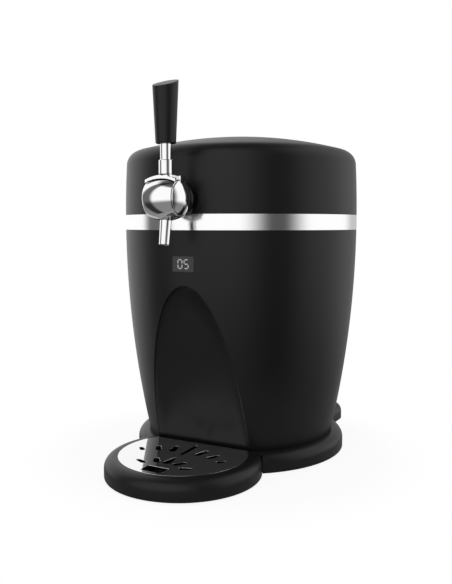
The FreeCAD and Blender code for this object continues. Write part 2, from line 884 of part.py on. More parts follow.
# the closing plate and its tongue, which the tray rides on
plate_disc = disc("plate_disc", "base_radius - base_wall - gap", "base_floor", PLATE_TOP)
plate_tail = body("plate_tail")
tail_face = sketch(plate_tail, "XY_Plane", "base_floor")
pad(plate_tail, tail_outline(tail_face, "(base_wall + gap)"), "plate_gauge")
plate_bay = before("plate_bay", f"{DOCK} - base_wall - gap", "0", "base_height")
TONGUE_LENGTH = "(tongue_reach - tray_chord + tongue_root)"
TONGUE = ("tongue_width", TONGUE_LENGTH, "plate_gauge")
tongue = block("tongue", "0", f"-tongue_reach + {TONGUE_LENGTH}/2", "base_floor", *TONGUE)
VENT = ("vent_width", "vent_length", "base_height")
vents = [
    block(f"base_vent_{i}", f"({i} - (vent_count - 1)/2)*vent_pitch", "tail_reach - vent_inset", "0", *VENT)
    for i in range(SIZES["vent_count"])
]
plate_holes = [
    rod(f"plate_hole_{i}", "screw_shank_radius + fit_gap", "base_height", x, y, "0")
    for i, (x, y) in enumerate(SCREW_SPOTS)
]
plate_round = cut("plate_round", fuse("plate_whole", [plate_disc, plate_tail]), plate_bay)
plate = fuse("plate_tongue", [plate_round, tongue])
node(cut("plate_drilled", plate, *vents, *plate_holes), "base_cover")

FOOT_SPOTS = [("0", "0")] + quarters("base_radius - foot_inset", "45")
FOOT_SPOTS += [(f"{side}(tail_width/2 - foot_side)", "tail_reach - foot_rear") for side in ("", "-")]
feet = [
    rod(f"foot_{i}", "foot_pad_radius", "foot_pad_height", x, y, "0")
    for i, (x, y) in enumerate(FOOT_SPOTS)
]
node(group("feet", feet), "rubber_feet")


def screw(name, x, y, z, axis=None, angle="0"):
    # the head's underside is at the given place and the shank runs along local +Z
    made = turned(
        name,
        [
            ("0", "-screw_head_height"),
            ("screw_head_radius", "-screw_head_height"),
            ("screw_head_radius", "0"),
            ("screw_shank_radius - slip", "0"),
            ("screw_shank_radius - slip", "screw_length"),
            ("0", "screw_length"),
        ],
    )
    return place(made, x, y, z, axis, angle)


base_fixings = [screw(f"base_screw_{i}", *spot, "base_floor") for i, spot in enumerate(SCREW_SPOTS)]
node(group("base_fixings", base_fixings), "base_screws")

# drip tray and its plate, both round with a straight back


def tray_shape(name, radius, chord, low, high):
    whole = place(disc(name + "_disc", radius, low, high), y="-tray_centre")
    behind = block(name + "_back", "0", f"-({chord}) + {ROOM}/2", "0", ROOM, ROOM, f"2*({high})")
    return cut(name, whole, behind)


tray_solid = place(
    turned(
        "tray_solid",
        [
            ("0", "tray_foot"),
            ("tray_radius - tray_heel", "tray_foot"),
            ("tray_radius", "tray_foot + tray_heel", "tray_heel"),
            ("tray_radius", "tray_lip - base_round"),
            ("tray_radius - base_round", "tray_lip", "base_round"),
            ("0", "tray_lip"),
        ],
    ),
    y="-tray_centre",
)
SEAT_R = "(grille_radius + gap)"
SEAT_CHORD = "(tray_chord + grille_inset)"
TRAY_OVER = "(tray_lip + tray_wall)"
CHANNEL = ("tongue_width + 2*run_gap", "(tongue_reach + gap)", f"{PLATE_TOP} + gap")
tray_tools = [
    block("tray_back", "0", f"-tray_chord + {ROOM}/2", "0", ROOM, ROOM, TRAY_OVER),
    tray_shape("grille_seat", SEAT_R, SEAT_CHORD, "grille_level - grille_gauge", TRAY_OVER),
    tray_shape("basin", "basin_radius", "tray_chord + tray_wall", "basin_floor", TRAY_OVER),
    block("tongue_channel", "0", f"-{CHANNEL[1]}/2", "0", *CHANNEL),
]
node(cut("tray_cut", tray_solid, *tray_tools), "drip_tray")

plate_blank = body("grille_blank")
PLATE_CHORD = f"({SEAT_CHORD} + gap)"
PLATE_HALF = f"sqrt(grille_radius^2 - (tray_centre - {PLATE_CHORD})^2)"
plate_sketch = sketch(plate_blank, "XY_Plane", "grille_level - grille_gauge")
# the arc runs round the front, so it is drawn in quarters
outline(
    plate_sketch,
    [
        (f"-{PLATE_HALF}", f"-{PLATE_CHORD}"),
        ("-grille_radius", "-tray_centre", "grille_radius"),
        ("0", "-tray_centre - grille_radius", "grille_radius"),
        ("grille_radius", "-tray_centre", "grille_radius"),
        (PLATE_HALF, f"-{PLATE_CHORD}", "grille_radius"),
    ],
)
pad(plate_blank, plate_sketch, "grille_gauge")
slots = sketch(plate_blank, "XY_Plane", "grille_level")
FOCUS = "(tray_centre + slot_focus)"


def fan_slot(turn, near, far, near_radius, far_radius):
    # a drop that lies on a ray from the fan's focus, at a turn from straight back
    spots = [(f"{reach}*sin({turn})", f"-{FOCUS} + {reach}*cos({turn})") for reach in (far, near)]
    drop(slots, *spots[0], far_radius, *spots[1], near_radius)


# one slot lies on the middle line with a drop in front of it, and to each side the slots get slimmer
fan_slot("0", "middle_near", "middle_far", "middle_radius", "middle_radius")
fan_slot("0", "drop_near", "drop_far", "drop_near_radius", "drop_far_radius")
for side in ("", "-"):
    for i in range(SIZES["slot_count"]):
        slim = f"{i}*slot_slimmer"
        radii = (f"slot_near_radius - {slim}", f"slot_far_radius - {slim}")
        fan_slot(f"{side}{i + 1}*slot_turn", f"(slot_near + {i}*slot_step)", "slot_far", *radii)
    for i in range(SIZES["short_count"]):
        slim = f"{i}*slot_slimmer"
        span = (f"(short_near + {i}*short_step)", f"(short_far + {i}*short_step)")
        radii = (f"short_near_radius - {slim}", f"short_far_radius - {slim}")
        fan_slot(f"{side}{i + 1}*short_turn", *span, *radii)
rectangle(slots, "0", "-tray_centre - finger_place", "finger_width", "finger_depth")
pocket(plate_blank, slots, "2*grille_gauge")
node(plate_blank, "drip_grille")

# lid

DOME_R = f"(({SEAM_R} - seam_gap)/sin(roof_slope))"
DOME_Z = f"({SEAM_Z} - {DOME_R}*cos(roof_slope))"
LID_R = f"({SEAM_R} - seam_gap)"
LID_LOW = f"({LEDGE_Z} + gap)"


def dome(radius, inset):
    # height of the dome's surface at a radius, less an inset
    return f"({DOME_Z} + sqrt(({DOME_R} - ({inset}))^2 - ({radius})^2))"


lid_dome = turned(
    "lid_dome",
    [
        (f"{LID_R} - lid_wall", LID_LOW),
        (LID_R, LID_LOW),
        (LID_R, SEAM_Z),
        ("0", dome("0", "0"), DOME_R),
        ("0", dome("0", "lid_wall")),
        (f"{LID_R} - lid_wall", dome(f"{LID_R} - lid_wall", "lid_wall"), f"-({DOME_R} - lid_wall)"),
    ],
)
lid_knuckle = rod(
    "lid_knuckle", "knuckle_radius", "knuckle_length", "-knuckle_length/2", *HINGE_LINE[1:]
)
ARM_LOW = f"({SEAM_Z} + run_gap)"
ARM = ("knuckle_length", "arm_depth", f"{HINGE_Z} + arm_rise - {ARM_LOW}")
lid_arm = block("lid_arm", "0", "lid_hinge_y + knuckle_radius - run_gap - arm_depth/2", ARM_LOW, *ARM)
lid_bore = rod("lid_bore", "hinge_pin_radius + fit_gap", PIN_LENGTH, *HINGE_LINE)
node(cut("lid_drilled", fuse("lid_mass", [lid_dome, lid_knuckle, lid_arm]), lid_bore), "lid_shell")
LINER_Z = f"({COLLAR_Z} + 2*slip + seal_height)"
LINER_TOP = f"({LINER_Z} + liner_wall)"
node(
    turned(
        "liner",
        [
            ("0", LINER_Z),
            ("liner_radius", LINER_Z),
            ("liner_radius", dome("liner_radius", "lid_wall + 2*slip")),
            ("liner_radius - liner_wall", dome("liner_radius", "lid_wall + 2*slip")),
            ("liner_radius - liner_wall", LINER_TOP),
            ("0", LINER_TOP),
        ],
    ),
    "lid_liner",
)
FOAM_R = "(liner_radius - liner_wall - gap)"
node(
    turned(
        "lid_foam",
        [
            ("0", LINER_TOP),
            (FOAM_R, LINER_TOP),
            (FOAM_R, dome(FOAM_R, "lid_wall + 2*slip")),
            ("0", dome("0", "lid_wall + 2*slip"), f"{DOME_R} - lid_wall - 2*slip"),
        ],
    ),
    "lid_insulation",
)
node(ring("seal", "seal_radius - seal_width", "seal_radius", f"{COLLAR_Z} + 2*slip", LINER_Z), "lid_seal")

# keg chamber

WELL_TOP = "(well_top + well_wall)"
FUNNEL_R = f"({WELL_OUT} + well_wall)"
RIM_R = "(seal_radius - seal_width - funnel_rim)"
node(
    turned(
        "collar_ring",
        [
            (FUNNEL_R, WELL_TOP),
            (f"{WELL_OUT} + well_flange + well_wall", WELL_TOP),
            (RIM_R, f"{COLLAR_Z} - funnel_wall"),
            (SEAM_R, f"{COLLAR_Z} - funnel_wall"),
            (SEAM_R, COLLAR_Z),
            (RIM_R, COLLAR_Z),
            (FUNNEL_R, f"{WELL_TOP} + funnel_wall"),
        ],
    ),
    "chamber_collar",
)
node(
    turned(
        "well_cup",
        [
            ("0", "well_floor - well_wall"),
            (WELL_OUT, "well_floor - well_wall"),
            (WELL_OUT, "well_top"),
            (f"{WELL_OUT} + well_flange", "well_top"),
            (f"{WELL_OUT} + well_flange", WELL_TOP),
            ("well_radius", WELL_TOP),
            ("well_radius", "well_floor"),
            ("0", "well_floor"),
        ],
    ),
    "keg_well",
)
foam_cup = turned(
    "foam_cup",
    [
        ("0", "foot_height"),
        ("foam_radius", "foot_height"),
        ("foam_radius", "well_top"),
        (f"{WELL_OUT} + fit_gap", "well_top"),
        (f"{WELL_OUT} + fit_gap", "well_floor - well_wall"),
        ("0", "well_floor - well_wall"),
    ],
)
FOAM_FRONT = tuple(f"{depth} + gap" for depth in BEHIND)
foam_front = front_slab("foam_front", "-foam_radius/2", FOAM_FRONT, "foam_radius")
BACK_ROOM = ("2*foam_radius", "foam_radius", "2*well_top")
foam_back = block("foam_back", "0", "foam_rear + foam_radius/2", "0", *BACK_ROOM)
BLOCK_ROOM = ("block_size + 2*gap", "foam_radius", "block_size + 2*gap")
block_room = block("block_room", "0", "foam_radius", "cool_height - block_size/2 - gap", *BLOCK_ROOM)
node(cut("foam_cut", foam_cup, foam_front, foam_back, block_room), "well_insulation")

# cooling at the back: block on the well's wall, thermoelectric module, finned sink, fan

BAR = ("block_size", "block_size/2", "block_size")
cold = block("cold_bar", "0", f"{BLOCK_Y} - block_size/4", "cool_height - block_size/2", *BAR)
node(cut("cold_cut", cold, disc("cold_face", WELL_OUT, "0", "well_top")), "cold_block")
node(
    block(
        "module",
        "0",
        f"{BLOCK_Y} + peltier_gauge/2",
        "cool_height - peltier_size/2",
        "peltier_size",
        "peltier_gauge",
        "peltier_size",
    ),
    "peltier_module",
)
sink = body("sink")
sink_face = sketch(sink, "XZ_Plane", f"-{SINK_Y}")
pad(sink, rectangle(sink_face, "0", "cool_height", "sink_size", "sink_size"), "sink_base", True)
fin_face = sketch(sink, "XZ_Plane", f"-{FIN_Y}")
rectangle(fin_face, "-(sink_size - fin_gauge)/2", "cool_height", "fin_gauge", "sink_size")
fin = feature(sink, "Pad", fin_face, "fin", Length="fin_depth")
fin.Reversed = True
fins = sink.newObject("PartDesign::LinearPattern", "sink_fins")
fins.Originals = [fin]
fins.Direction = (fin_face, ["H_Axis"])
bind(fins, Length="sink_size - fin_gauge", Occurrences="fin_count")
sink.Tip = fins
node(sink, "heat_sink")



def across(name, radius, length, y):
    # a round bar along the fan's axis, from y to the rear
    return rod(name, radius, length, "0", y, "cool_height", (-1, 0, 0), "90")


frame_blank = body("fan_square")
frame_face = sketch(frame_blank, "XZ_Plane", f"-{FAN_Y}")
rectangle(frame_face, "0", "cool_height", "fan_size", "fan_size")
circle(frame_face, "0", "cool_height", "fan_bore")
pad(frame_blank, frame_face, "fan_depth", True)
PLATE_Y = f"({FAN_END} - fan_plate)"
motor = across("fan_motor", "hub_radius", "fan_plate", PLATE_Y)
SPAN = "(fan_bore + fan_gap)"
STRUT_Y = f"({FAN_END} - fan_plate/2)"
struts = [
    block("strut_level", "0", STRUT_Y, "cool_height - fan_plate/2", f"2*{SPAN}", "fan_plate", "fan_plate"),
    block("strut_upright", "0", STRUT_Y, f"cool_height - {SPAN}", "fan_plate", "fan_plate", f"2*{SPAN}"),
]
fan_pin = across("fan_pin", "fan_pin_radius", "fan_pin_length", f"{PLATE_Y} - fan_pin_length + fan_gap")
node(fuse("fan_carrier", [frame_blank, motor, fan_pin] + struts), "fan_frame")
HUB_Y = f"({FAN_Y} + hub_inset)"
HUB_LENGTH = f"({PLATE_Y} - fan_gap - {HUB_Y})"
hub = across("fan_hub", "hub_radius", HUB_LENGTH, HUB_Y)
blades = []
for i in range(SIZES["blade_count"]):
    blade = body(f"blade_{i}")
    face = sketch(blade, "XY_Plane", "hub_radius - blade_gauge")
    rectangle(face, "0", "0", "blade_gauge", "blade_width")
    pad(blade, face, "fan_bore - fan_gap - hub_radius + blade_gauge")
    pitched = Rotation(Vector(0, 0, 1), value("blade_pitch"))
    turned_to = Rotation(Vector(0, 1, 0), value(f"{i}*360/blade_count"))
    blade.Placement = FreeCAD.Placement(Vector(), turned_to * pitched)
    bind(blade, Placement_Base_y=f"{HUB_Y} + {HUB_LENGTH}/2", Placement_Base_z="cool_height")
    blades.append(blade)
hub_bore = across("hub_bore", "fan_pin_radius + fit_gap", "2*fan_pin_length", f"{PLATE_Y} - fan_pin_length")
node(cut("rotor_cut", fuse("rotor", [hub] + blades), hub_bore), "fan_rotor")

# rear cover over the fan, with a ringed grille, side louvres and the power entry

cover = body("cover_box")
HALF = "(cover_width/2)"
cover_plan = outline(
    sketch(cover, "XY_Plane", "cover_low"),
    [
        (HALF, "well_radius"),
        (HALF, "cover_reach - cover_round"),
        (f"{HALF} - cover_round", "cover_reach", "cover_round"),
        (f"-({HALF} - cover_round)", "cover_reach"),
        (f"-{HALF}", "cover_reach - cover_round", "cover_round"),
        (f"-{HALF}", "well_radius"),
    ],
)
cover_pad = pad(cover, cover_plan, "cover_high - cover_low")
doc.recompute()
round_top(cover, cover_pad, "cover_round/2", "cover_high")
inner = body("cover_space")
INNER = "(cover_width/2 - cover_wall)"
INNER_ROUND = "(cover_round - cover_wall)"
BACK = "(cover_reach - cover_wall)"
inner_plan = outline(
    sketch(inner, "XY_Plane", "cover_low"),
    [
        (INNER, "well_radius - cover_wall"),
        (INNER, f"{BACK} - {INNER_ROUND}"),
        (f"{INNER} - {INNER_ROUND}", BACK, INNER_ROUND),
        (f"-({INNER} - {INNER_ROUND})", BACK),
        (f"-{INNER}", f"{BACK} - {INNER_ROUND}", INNER_ROUND),
        (f"-{INNER}", "well_radius - cover_wall"),
    ],
)
pad(inner, inner_plan, "cover_high - cover_low - cover_wall")
rings = []
for i in range(SIZES["ring_count"]):
    outer_r = f"(fan_bore - {i}*ring_pitch)"
    whole = across(f"ring_out_{i}", outer_r, "2*cover_wall", f"{BACK} - cover_wall/2")
    middle = across(f"ring_in_{i}", f"{outer_r} - ring_slot", "3*cover_wall", f"{BACK} - cover_wall")
    rings.append(cut(f"ring_{i}", whole, middle))
SPOKE = "(2*fan_bore + ring_pitch)"
spokes = [
    block("spoke_level", "0", BACK, "cool_height - ring_spoke/2", SPOKE, "4*cover_wall", "ring_spoke"),
    block("spoke_upright", "0", BACK, f"cool_height - {SPOKE}/2", "ring_spoke", "4*cover_wall", SPOKE),
]
LOUVRE = ("cover_width + cover_wall", "louvre_length", "louvre_width")
louvres = []
for i in range(SIZES["louvre_count"]):
    z = f"cool_height + ({i} - (louvre_count - 1)/2)*louvre_pitch - louvre_width/2"
    louvres.append(block(f"louvre_{i}", "0", "cover_reach - louvre_length", z, *LOUVRE))


def entry(name, x, width, height, depth, wall):
    # a box set in the cover's back behind a flange, open to the rear, with the hole it fills
    box = block(
        name + "_box", x, f"cover_reach - {depth}/2", f"inlet_z - {height}/2", width, depth, height
    )
    rim = block(
        name + "_flange",
        x,
        "cover_reach + flange_gauge/2",
        f"inlet_z - {height}/2 - {wall}",
        f"{width} + 2*{wall}",
        "flange_gauge",
        f"{height} + 2*{wall}",
    )
    room = block(
        name + "_room",
        x,
        f"cover_reach + flange_gauge - {depth}/2 + {wall}",
        f"inlet_z - {height}/2 + {wall}",
        f"{width} - 2*{wall}",
        depth,
        f"{height} - 2*{wall}",
    )
    hole = block(
        name + "_hole",
        x,
        "cover_reach",
        f"inlet_z - {height}/2 - fit_gap",
        f"{width} + 2*fit_gap",
        "4*cover_wall",
        f"{height} + 2*fit_gap",
    )
    return fuse(name + "_mass", [box, rim]), room, hole


inlet, inlet_room, inlet_hole = entry(
    "inlet", "inlet_x", "inlet_width", "inlet_height", "inlet_depth", "inlet_wall"
)
switch, switch_room, switch_hole = entry(
    "switch", "switch_x", "switch_width", "switch_height", "switch_depth", "switch_wall"
)
cover_holes = [
    rod(f"cover_hole_{tag}", "screw_shank_radius + fit_gap", "2*cover_wall", x, BACK, z, (-1, 0, 0), "90")
    for tag, x, z in POSTS
]
cover_core = barrel_core("cover_core", "-fit_gap", "foot_height", "band_low")
grille_cut = cut("cover_grille", fuse("cover_rings", rings), *spokes)
cover_tools = [inner, cover_core, grille_cut, *louvres, inlet_hole, switch_hole, *cover_holes]
node(cut("cover_cut", cover, *cover_tools), "rear_cover")
cover_fixings = [screw(f"cover_screw_{tag}", x, "cover_reach", z, (1, 0, 0), "90") for tag, x, z in POSTS]
node(group("cover_fixings", cover_fixings), "cover_screws")

PRONG_LENGTH = "(inlet_depth - 2*inlet_wall)"
prongs = []
for i, rise in ((-1, "0"), (0, "earth_rise"), (1, "0")):
    prong = ("prong_width", PRONG_LENGTH, "prong_height")
    y = f"cover_reach - inlet_depth + {PRONG_LENGTH}/2"
    z = f"inlet_z - prong_height/2 + {rise}"
    prongs.append(block(f"prong_{i + 1}", f"inlet_x + {i}*prong_pitch", y, z, *prong))
node(fuse("inlet_whole", [cut("inlet_cut", inlet, inlet_room)] + prongs), "power_inlet")

AXLE_LENGTH = "(switch_height - switch_wall)"
AXLE = (AXLE_LENGTH, "switch_x", "cover_reach", f"inlet_z - {AXLE_LENGTH}/2")
axle_hole = rod("axle_hole", "axle_radius + fit_gap", *AXLE)
node(cut("switch_cut", switch, switch_room, axle_hole), "switch_frame")
rocker = body("rocker")
ROCKER_HALF = "(switch_width/2 - switch_wall - rocker_gap)"
ROCKER_HEIGHT = "(switch_height - 2*switch_wall - rocker_gap)"
outline(
    sketch(rocker, "XY_Plane", f"-{ROCKER_HEIGHT}/2"),
    [
        (f"-{ROCKER_HALF} + rocker_draft", "-rocker_depth"),
        (f"{ROCKER_HALF} - rocker_draft", "-rocker_depth"),
        (ROCKER_HALF, "rocker_rise"),
        ("0", "rocker_dip"),
        (f"-{ROCKER_HALF}", "rocker_rise"),
    ],
)
pad(rocker, rocker.Group[-1], ROCKER_HEIGHT)
place(rocker, "switch_x", "cover_reach", "inlet_z", (0, 0, 1), "switch_tilt")
node(fuse("rocker_whole", [rocker, rod("rocker_axle", "axle_radius", *AXLE)]), "switch_rocker")

# supply board, upright in front of the fan on two feet
BOARD_Y = f"({barrel('board_low + supply_height')} + supply_step)"
SUPPLY = ("supply_width", "board_gauge", "supply_height")
board = block("supply_board", "0", f"{BOARD_Y} + board_gauge/2", "board_low", *SUPPLY)
FOOT = ("supply_foot", "supply_foot", "board_low + supply_foot/2 - base_height")
FOOT_X = "(supply_width/2 - supply_foot)"
board_feet = [
    block(f"supply_foot_{side}", f"{sign}{FOOT_X}", f"{BOARD_Y} + supply_foot/2", "base_height", *FOOT)
    for side, sign in (("left", "-"), ("right", ""))
]
BOARD_BACK = f"({BOARD_Y} + board_gauge)"
COIL_Z = "(board_low + supply_height - coil_height)"
COIL = ("coil_width", "coil_depth", "coil_height")
coil = block("supply_coil", "-supply_width/4", f"{BOARD_BACK} + coil_depth/2", COIL_Z, *COIL)
CAN_Y = f"({BOARD_BACK} + can_radius - slip)"
can = rod("supply_can", "can_radius", "can_height", "supply_width/4", CAN_Y, COIL_Z)
node(fuse("supply", [board, coil, can] + board_feet), "power_board")

# display

WINDOW_Y = f"({barrel('window_level')} - window_sink)"
SEGMENTS = {"left": "abcdef", "right": "afgcd"}
SEGMENT_AT = {
    "a": (0, 1, True),
    "g": (0, 0, True),
    "d": (0, -1, True),
    "f": (-1, 0.5, False),
    "b": (1, 0.5, False),
    "e": (-1, -0.5, False),
    "c": (1, -0.5, False),
}


def segments(name, grow, depth):
    # bars of two seven-segment figures that read 05, each bar grown by a margin
    bars = []
    for side, sign in (("left", "-"), ("right", "")):
        for letter in SEGMENTS[side]:
            across_steps, up_steps, level = SEGMENT_AT[letter]
            x = f"{sign}digit_pitch/2 + {across_steps}*(digit_width - segment_width)/2"
            z = f"window_level + {up_steps}*(digit_height - segment_width)/2"
            run = "digit_width" if level else "(digit_height + segment_width)/2"
            long = f"({run} - 2*segment_width - 2*segment_gap)"
            wide, tall = (long, "segment_width") if level else ("segment_width", long)
            wide, tall = f"({wide} + 2*({grow}))", f"({tall} + 2*({grow}))"
            y = f"-{WINDOW_Y} + ({depth})/2 - slip"
            bars.append(block(f"{name}_{side}_{letter}", x, y, f"{z} - {tall}/2", wide, depth, tall))
    return bars


LENS = ("window_width", "window_gauge", "window_height")
lens = block("lens", "0", f"-{WINDOW_Y} + window_gauge/2", "window_level - window_height/2", *LENS)
pits = segments("pit", "slip/2", "segment_gauge + slip")
node(cut("lens_cut", lens, *pits), "display_window")
node(group("figures", segments("bar", "0", "segment_gauge")), "display_digits")
MODULE_Y = f"({WINDOW_Y} - window_gauge)"
LED = ("led_width", "led_depth", "led_height")
led = block("led_module", "0", f"-{MODULE_Y} + led_depth/2", "window_level - led_height/2", *LED)
CIRCUIT = ("circuit_width", "board_gauge", "circuit_height")
circuit_y = f"-{MODULE_Y} + led_depth + board_gauge/2"
circuit = block("circuit", "0", circuit_y, "window_level - circuit_height/2", *CIRCUIT)
node(fuse("display_circuit", [led, circuit]), "display_board")

# tap

BALL_ARC = "((ball_half^2 + (ball_radius - ball_end_radius)^2)/(2*(ball_radius - ball_end_radius)))"
PIVOT = ("-tap_y", "tap_z", (0, 1, 0), "90")


def ball_height(x, grow):
    # the ball's radius at a distance along the pivot, grown by a margin
    return f"(ball_radius + {grow} - ({BALL_ARC} + {grow}) + sqrt(({BALL_ARC} + {grow})^2 - ({x})^2))"


def tap_place(thing):
    return place(thing, y="-tap_y", z="tap_z")


def ball_solid(name, half, grow):
    return tap_place(
        turned(
            name,
            [
                (f"-({half})", "0"),
                (half, "0"),
                (half, ball_height(half, grow)),
                (f"-({half})", ball_height(half, grow), f"{BALL_ARC} + {grow}"),
            ],
            "H_Axis",
        )
    )


def about_pivot(name, radius, length):
    # a round bar centred on the lever's pivot line
    return rod(name, radius, length, f"-({length})/2", *PIVOT)


# the ball with its bores, and a room round the cam on the pivot
CAM_HALF = "(cam_half + run_gap)"
NECK_REAR = "(collar_rear - neck_tail)"
neck = along_tap("tap_neck", "neck_radius", "tap_y - ball_radius/3", NECK_REAR)
VALVE_TOP = "(tap_z - cam_radius - 2*fit_gap)"
tap_bores = [
    along_tap("tap_inlet", "shank_bore", "tap_y", NECK_REAR),
    rod("tap_drop", "valve_radius + 2*fit_gap", "ball_radius", "0", "-tap_y", "tap_z - ball_radius"),
    rod("tap_chamber", "valve_bore", "ball_radius", "0", "-tap_y", f"{VALVE_TOP} - valve_head - ball_radius"),
    about_pivot("tap_cam_room", "lobe_throw + lobe_radius + run_gap", f"2*{CAM_HALF}"),
    about_pivot("tap_pin_hole", "pivot_radius + fit_gap", "2*ball_half"),
]
ball_mass = fuse("ball_mass", [ball_solid("ball", "ball_half", "0"), neck])
node(cut("ball_cut", ball_mass, *tap_bores), "tap_body")

# side caps turn with the lever, a running gap off the ball
CAP_IN = "(ball_half + gap)"
CAP_ARC = f"((ball_end_radius^2 + (cap_reach - {CAP_IN})^2)/(2*(cap_reach - {CAP_IN})))"
PIVOT_LENGTH = f"(2*({CAP_IN} + pivot_grip))"
caps = []
for side, facing in (("left", "180"), ("right", "0")):
    cap = turned(
        f"cap_{side}",
        [(CAP_IN, "0"), ("cap_reach", "0"), (CAP_IN, "ball_end_radius", CAP_ARC)],
        "H_Axis",
    )
    place(cap, "0", "-tap_y", "tap_z", (0, 0, 1), facing)
    bore = about_pivot(f"cap_bore_{side}", "pivot_radius + slip", PIVOT_LENGTH)
    caps.append(node(cut(f"cap_bored_{side}", cap, bore), f"tap_cap_{side}"))
cam = body("cam")
LOBE = ("-lobe_throw*sin(lobe_turn)", "-lobe_throw*cos(lobe_turn)", "lobe_radius")
pad(cam, drop(sketch(cam, "YZ_Plane", "-cam_half"), "0", "0", "cam_radius", *LOBE), "2*cam_half")
pivot_rod = about_pivot("pivot_rod", "pivot_radius", PIVOT_LENGTH)
node(fuse("pivot_cam", [pivot_rod, tap_place(cam)]), "lever_pivot_pin")

SPOUT_RISE = "(ball_radius/2 - lobe_radius/2)"
spout = turned(
    "spout_tube",
    [
        ("spout_bore", "-spout_length"),
        ("spout_end_radius", "-spout_length"),
        ("spout_top_radius", "0"),
        ("spout_top_radius", SPOUT_RISE),
        ("spout_bore", SPOUT_RISE),
    ],
)
SPOUT_TOP = "(spout_end_z + spout_length*cos(spout_lean))"
place(spout, "0", "-tap_y", SPOUT_TOP, (-1, 0, 0), "spout_lean")
node(cut("spout_cut", spout, ball_solid("spout_seat", "ball_half", "slip/2")), "tap_spout")
collar = along_tap("collar_solid", "collar_radius", "collar_front", "collar_rear")
collar_hole = along_tap("collar_hole", "neck_radius + slip", "tap_y", NECK_REAR)
node(cut("collar_cut", collar, collar_hole, ball_solid("collar_room", "ball_half", "2*slip")), "tap_collar")

flange = body("flange")
FLANGE_FRONT = "(collar_rear - run_gap - tap_y)"
FLANGE_REAR = f"({barrel('tap_z')} - 3*shell_wall - tap_y)"
flange_face = outline(
    sketch(flange, "XZ_Plane"),
    [
        ("0", FLANGE_FRONT),
        ("collar_radius", FLANGE_FRONT),
        ("escutcheon_radius", f"{FLANGE_FRONT} - escutcheon_edge"),
        ("escutcheon_radius", FLANGE_REAR),
        ("0", FLANGE_REAR),
    ],
)
flange_turn = feature(flange, "Revolution", flange_face, "turn")
flange_turn.ReferenceAxis = (flange_face, ["V_Axis"])
flange_turn.Angle = 360
place(flange, "0", "-tap_y", "tap_z", (1, 0, 0), "90")
flange_core = barrel_core("flange_core", "-2*slip", "band_low", "shoulder_height - gap")
flange_tools = [
    flange_core,
    along_tap("flange_hole", "shank_radius + fit_gap", "tap_y", "shank_rear"),
    along_tap("flange_recess", "neck_radius + fit_gap", "tap_y", f"{NECK_REAR} - fit_gap"),
]
node(cut("flange_cut", flange, *flange_tools), "tap_escutcheon")

# the shank passes through the shell and carries a barb for the beer hose
BARB_PLACE = ("0", "-(shank_rear + barb_inset)", "tap_z")
shank = [
    along_tap("shank_rod", "shank_radius", NECK_REAR, "shank_rear"),
    rod("shank_barb", "barb_radius", "barb_height", *BARB_PLACE),
]
shank_tools = [
    along_tap("shank_way", "shank_bore", "tap_y", "shank_rear + barb_bore"),
    rod("barb_way", "barb_bore", "2*barb_height", *BARB_PLACE),
]
node(cut("shank_cut", fuse("shank_mass", shank), *shank_tools), "tap_shank")
NUT_FRONT = f"({barrel('tap_z', 'shell_wall')} - gasket_gauge)"
nut = along_tap("nut_solid", "nut_radius", NUT_FRONT, f"{NUT_FRONT} - nut_length")
nut_hole = along_tap("nut_hole", "shank_radius + slip", "tap_y", "shank_rear")
node(cut("nut_cut", nut, nut_hole), "shank_nut")
gasket = along_tap("gasket_solid", "nut_radius + slip", "tap_y", NUT_FRONT)
gasket_hole = along_tap("gasket_hole", "shank_radius + fit_gap", "tap_y", "shank_rear")
gasket_space = barrel_core("gasket_space", "shell_wall + slip", "band_low", "shoulder_height - gap")
node(common("gasket_cut", cut("gasket_rim", gasket, gasket_hole), gasket_space), "shank_gasket")
HOSE_LOW = "(tap_z + barb_height/2)"
HOSE_TOP = f"({WELL_TOP} - funnel_wall)"
hose = ("0", "-(shank_rear + barb_inset)", HOSE_LOW)
hose_solid = rod("hose_solid", "barb_radius + hose_wall", f"{HOSE_TOP} - {HOSE_LOW}", *hose)
node(cut("hose_cut", hose_solid, rod("hose_way", "barb_radius + slip", "2*barb_height", *hose)), "beer_hose")

# lever: a strap over the ball with a lug down to each cap, a stem, a rod and the grip

SADDLE_IN, SADDLE_OUT = "saddle_gap", "(saddle_gap + saddle_wall)"
saddle_ring = tap_place(
    turned(
        "saddle_ring",
        [
            ("-saddle_half", ball_height("saddle_half", SADDLE_IN)),
            ("saddle_half", ball_height("saddle_half", SADDLE_IN), f"-({BALL_ARC} + {SADDLE_IN})"),
            ("saddle_half", ball_height("saddle_half", SADDLE_OUT)),
            ("-saddle_half", ball_height("saddle_half", SADDLE_OUT), f"{BALL_ARC} + {SADDLE_OUT}"),
        ],
        "H_Axis",
    )
)
saddle_zone = block("saddle_zone", "0", "-tap_y", "tap_z", "2*ball_radius", "saddle_spread", "2*ball_radius")
LUG_LOW = "(tap_z + ball_end_radius - lug_drop)"
LUG = ("lug_gauge", "lug_width", f"tap_z + {ball_height('saddle_half', SADDLE_OUT)} - {LUG_LOW}")
lugs = [
    block(f"lug_{side}", f"{sign}(saddle_half + lug_gauge/2 - slip)", "-tap_y", LUG_LOW, *LUG)
    for side, sign in (("left", "-"), ("right", ""))
]
strap = common("saddle_strap", saddle_ring, saddle_zone)
node(cut("saddle_seated", fuse("saddle_mass", [strap] + lugs), *caps), "lever_saddle")
SADDLE_TOP = f"(tap_z + ball_radius + {SADDLE_OUT})"
node(rod("stem", "stem_radius", f"stem_top - {SADDLE_TOP}", "0", "-tap_y", SADDLE_TOP), "lever_stem")
node(rod("lever_tube", "rod_radius", "rod_top - stem_top", "0", "-tap_y", "stem_top"), "lever_rod")
HANDLE_RISE = "(handle_high_radius*tan(handle_slant))"
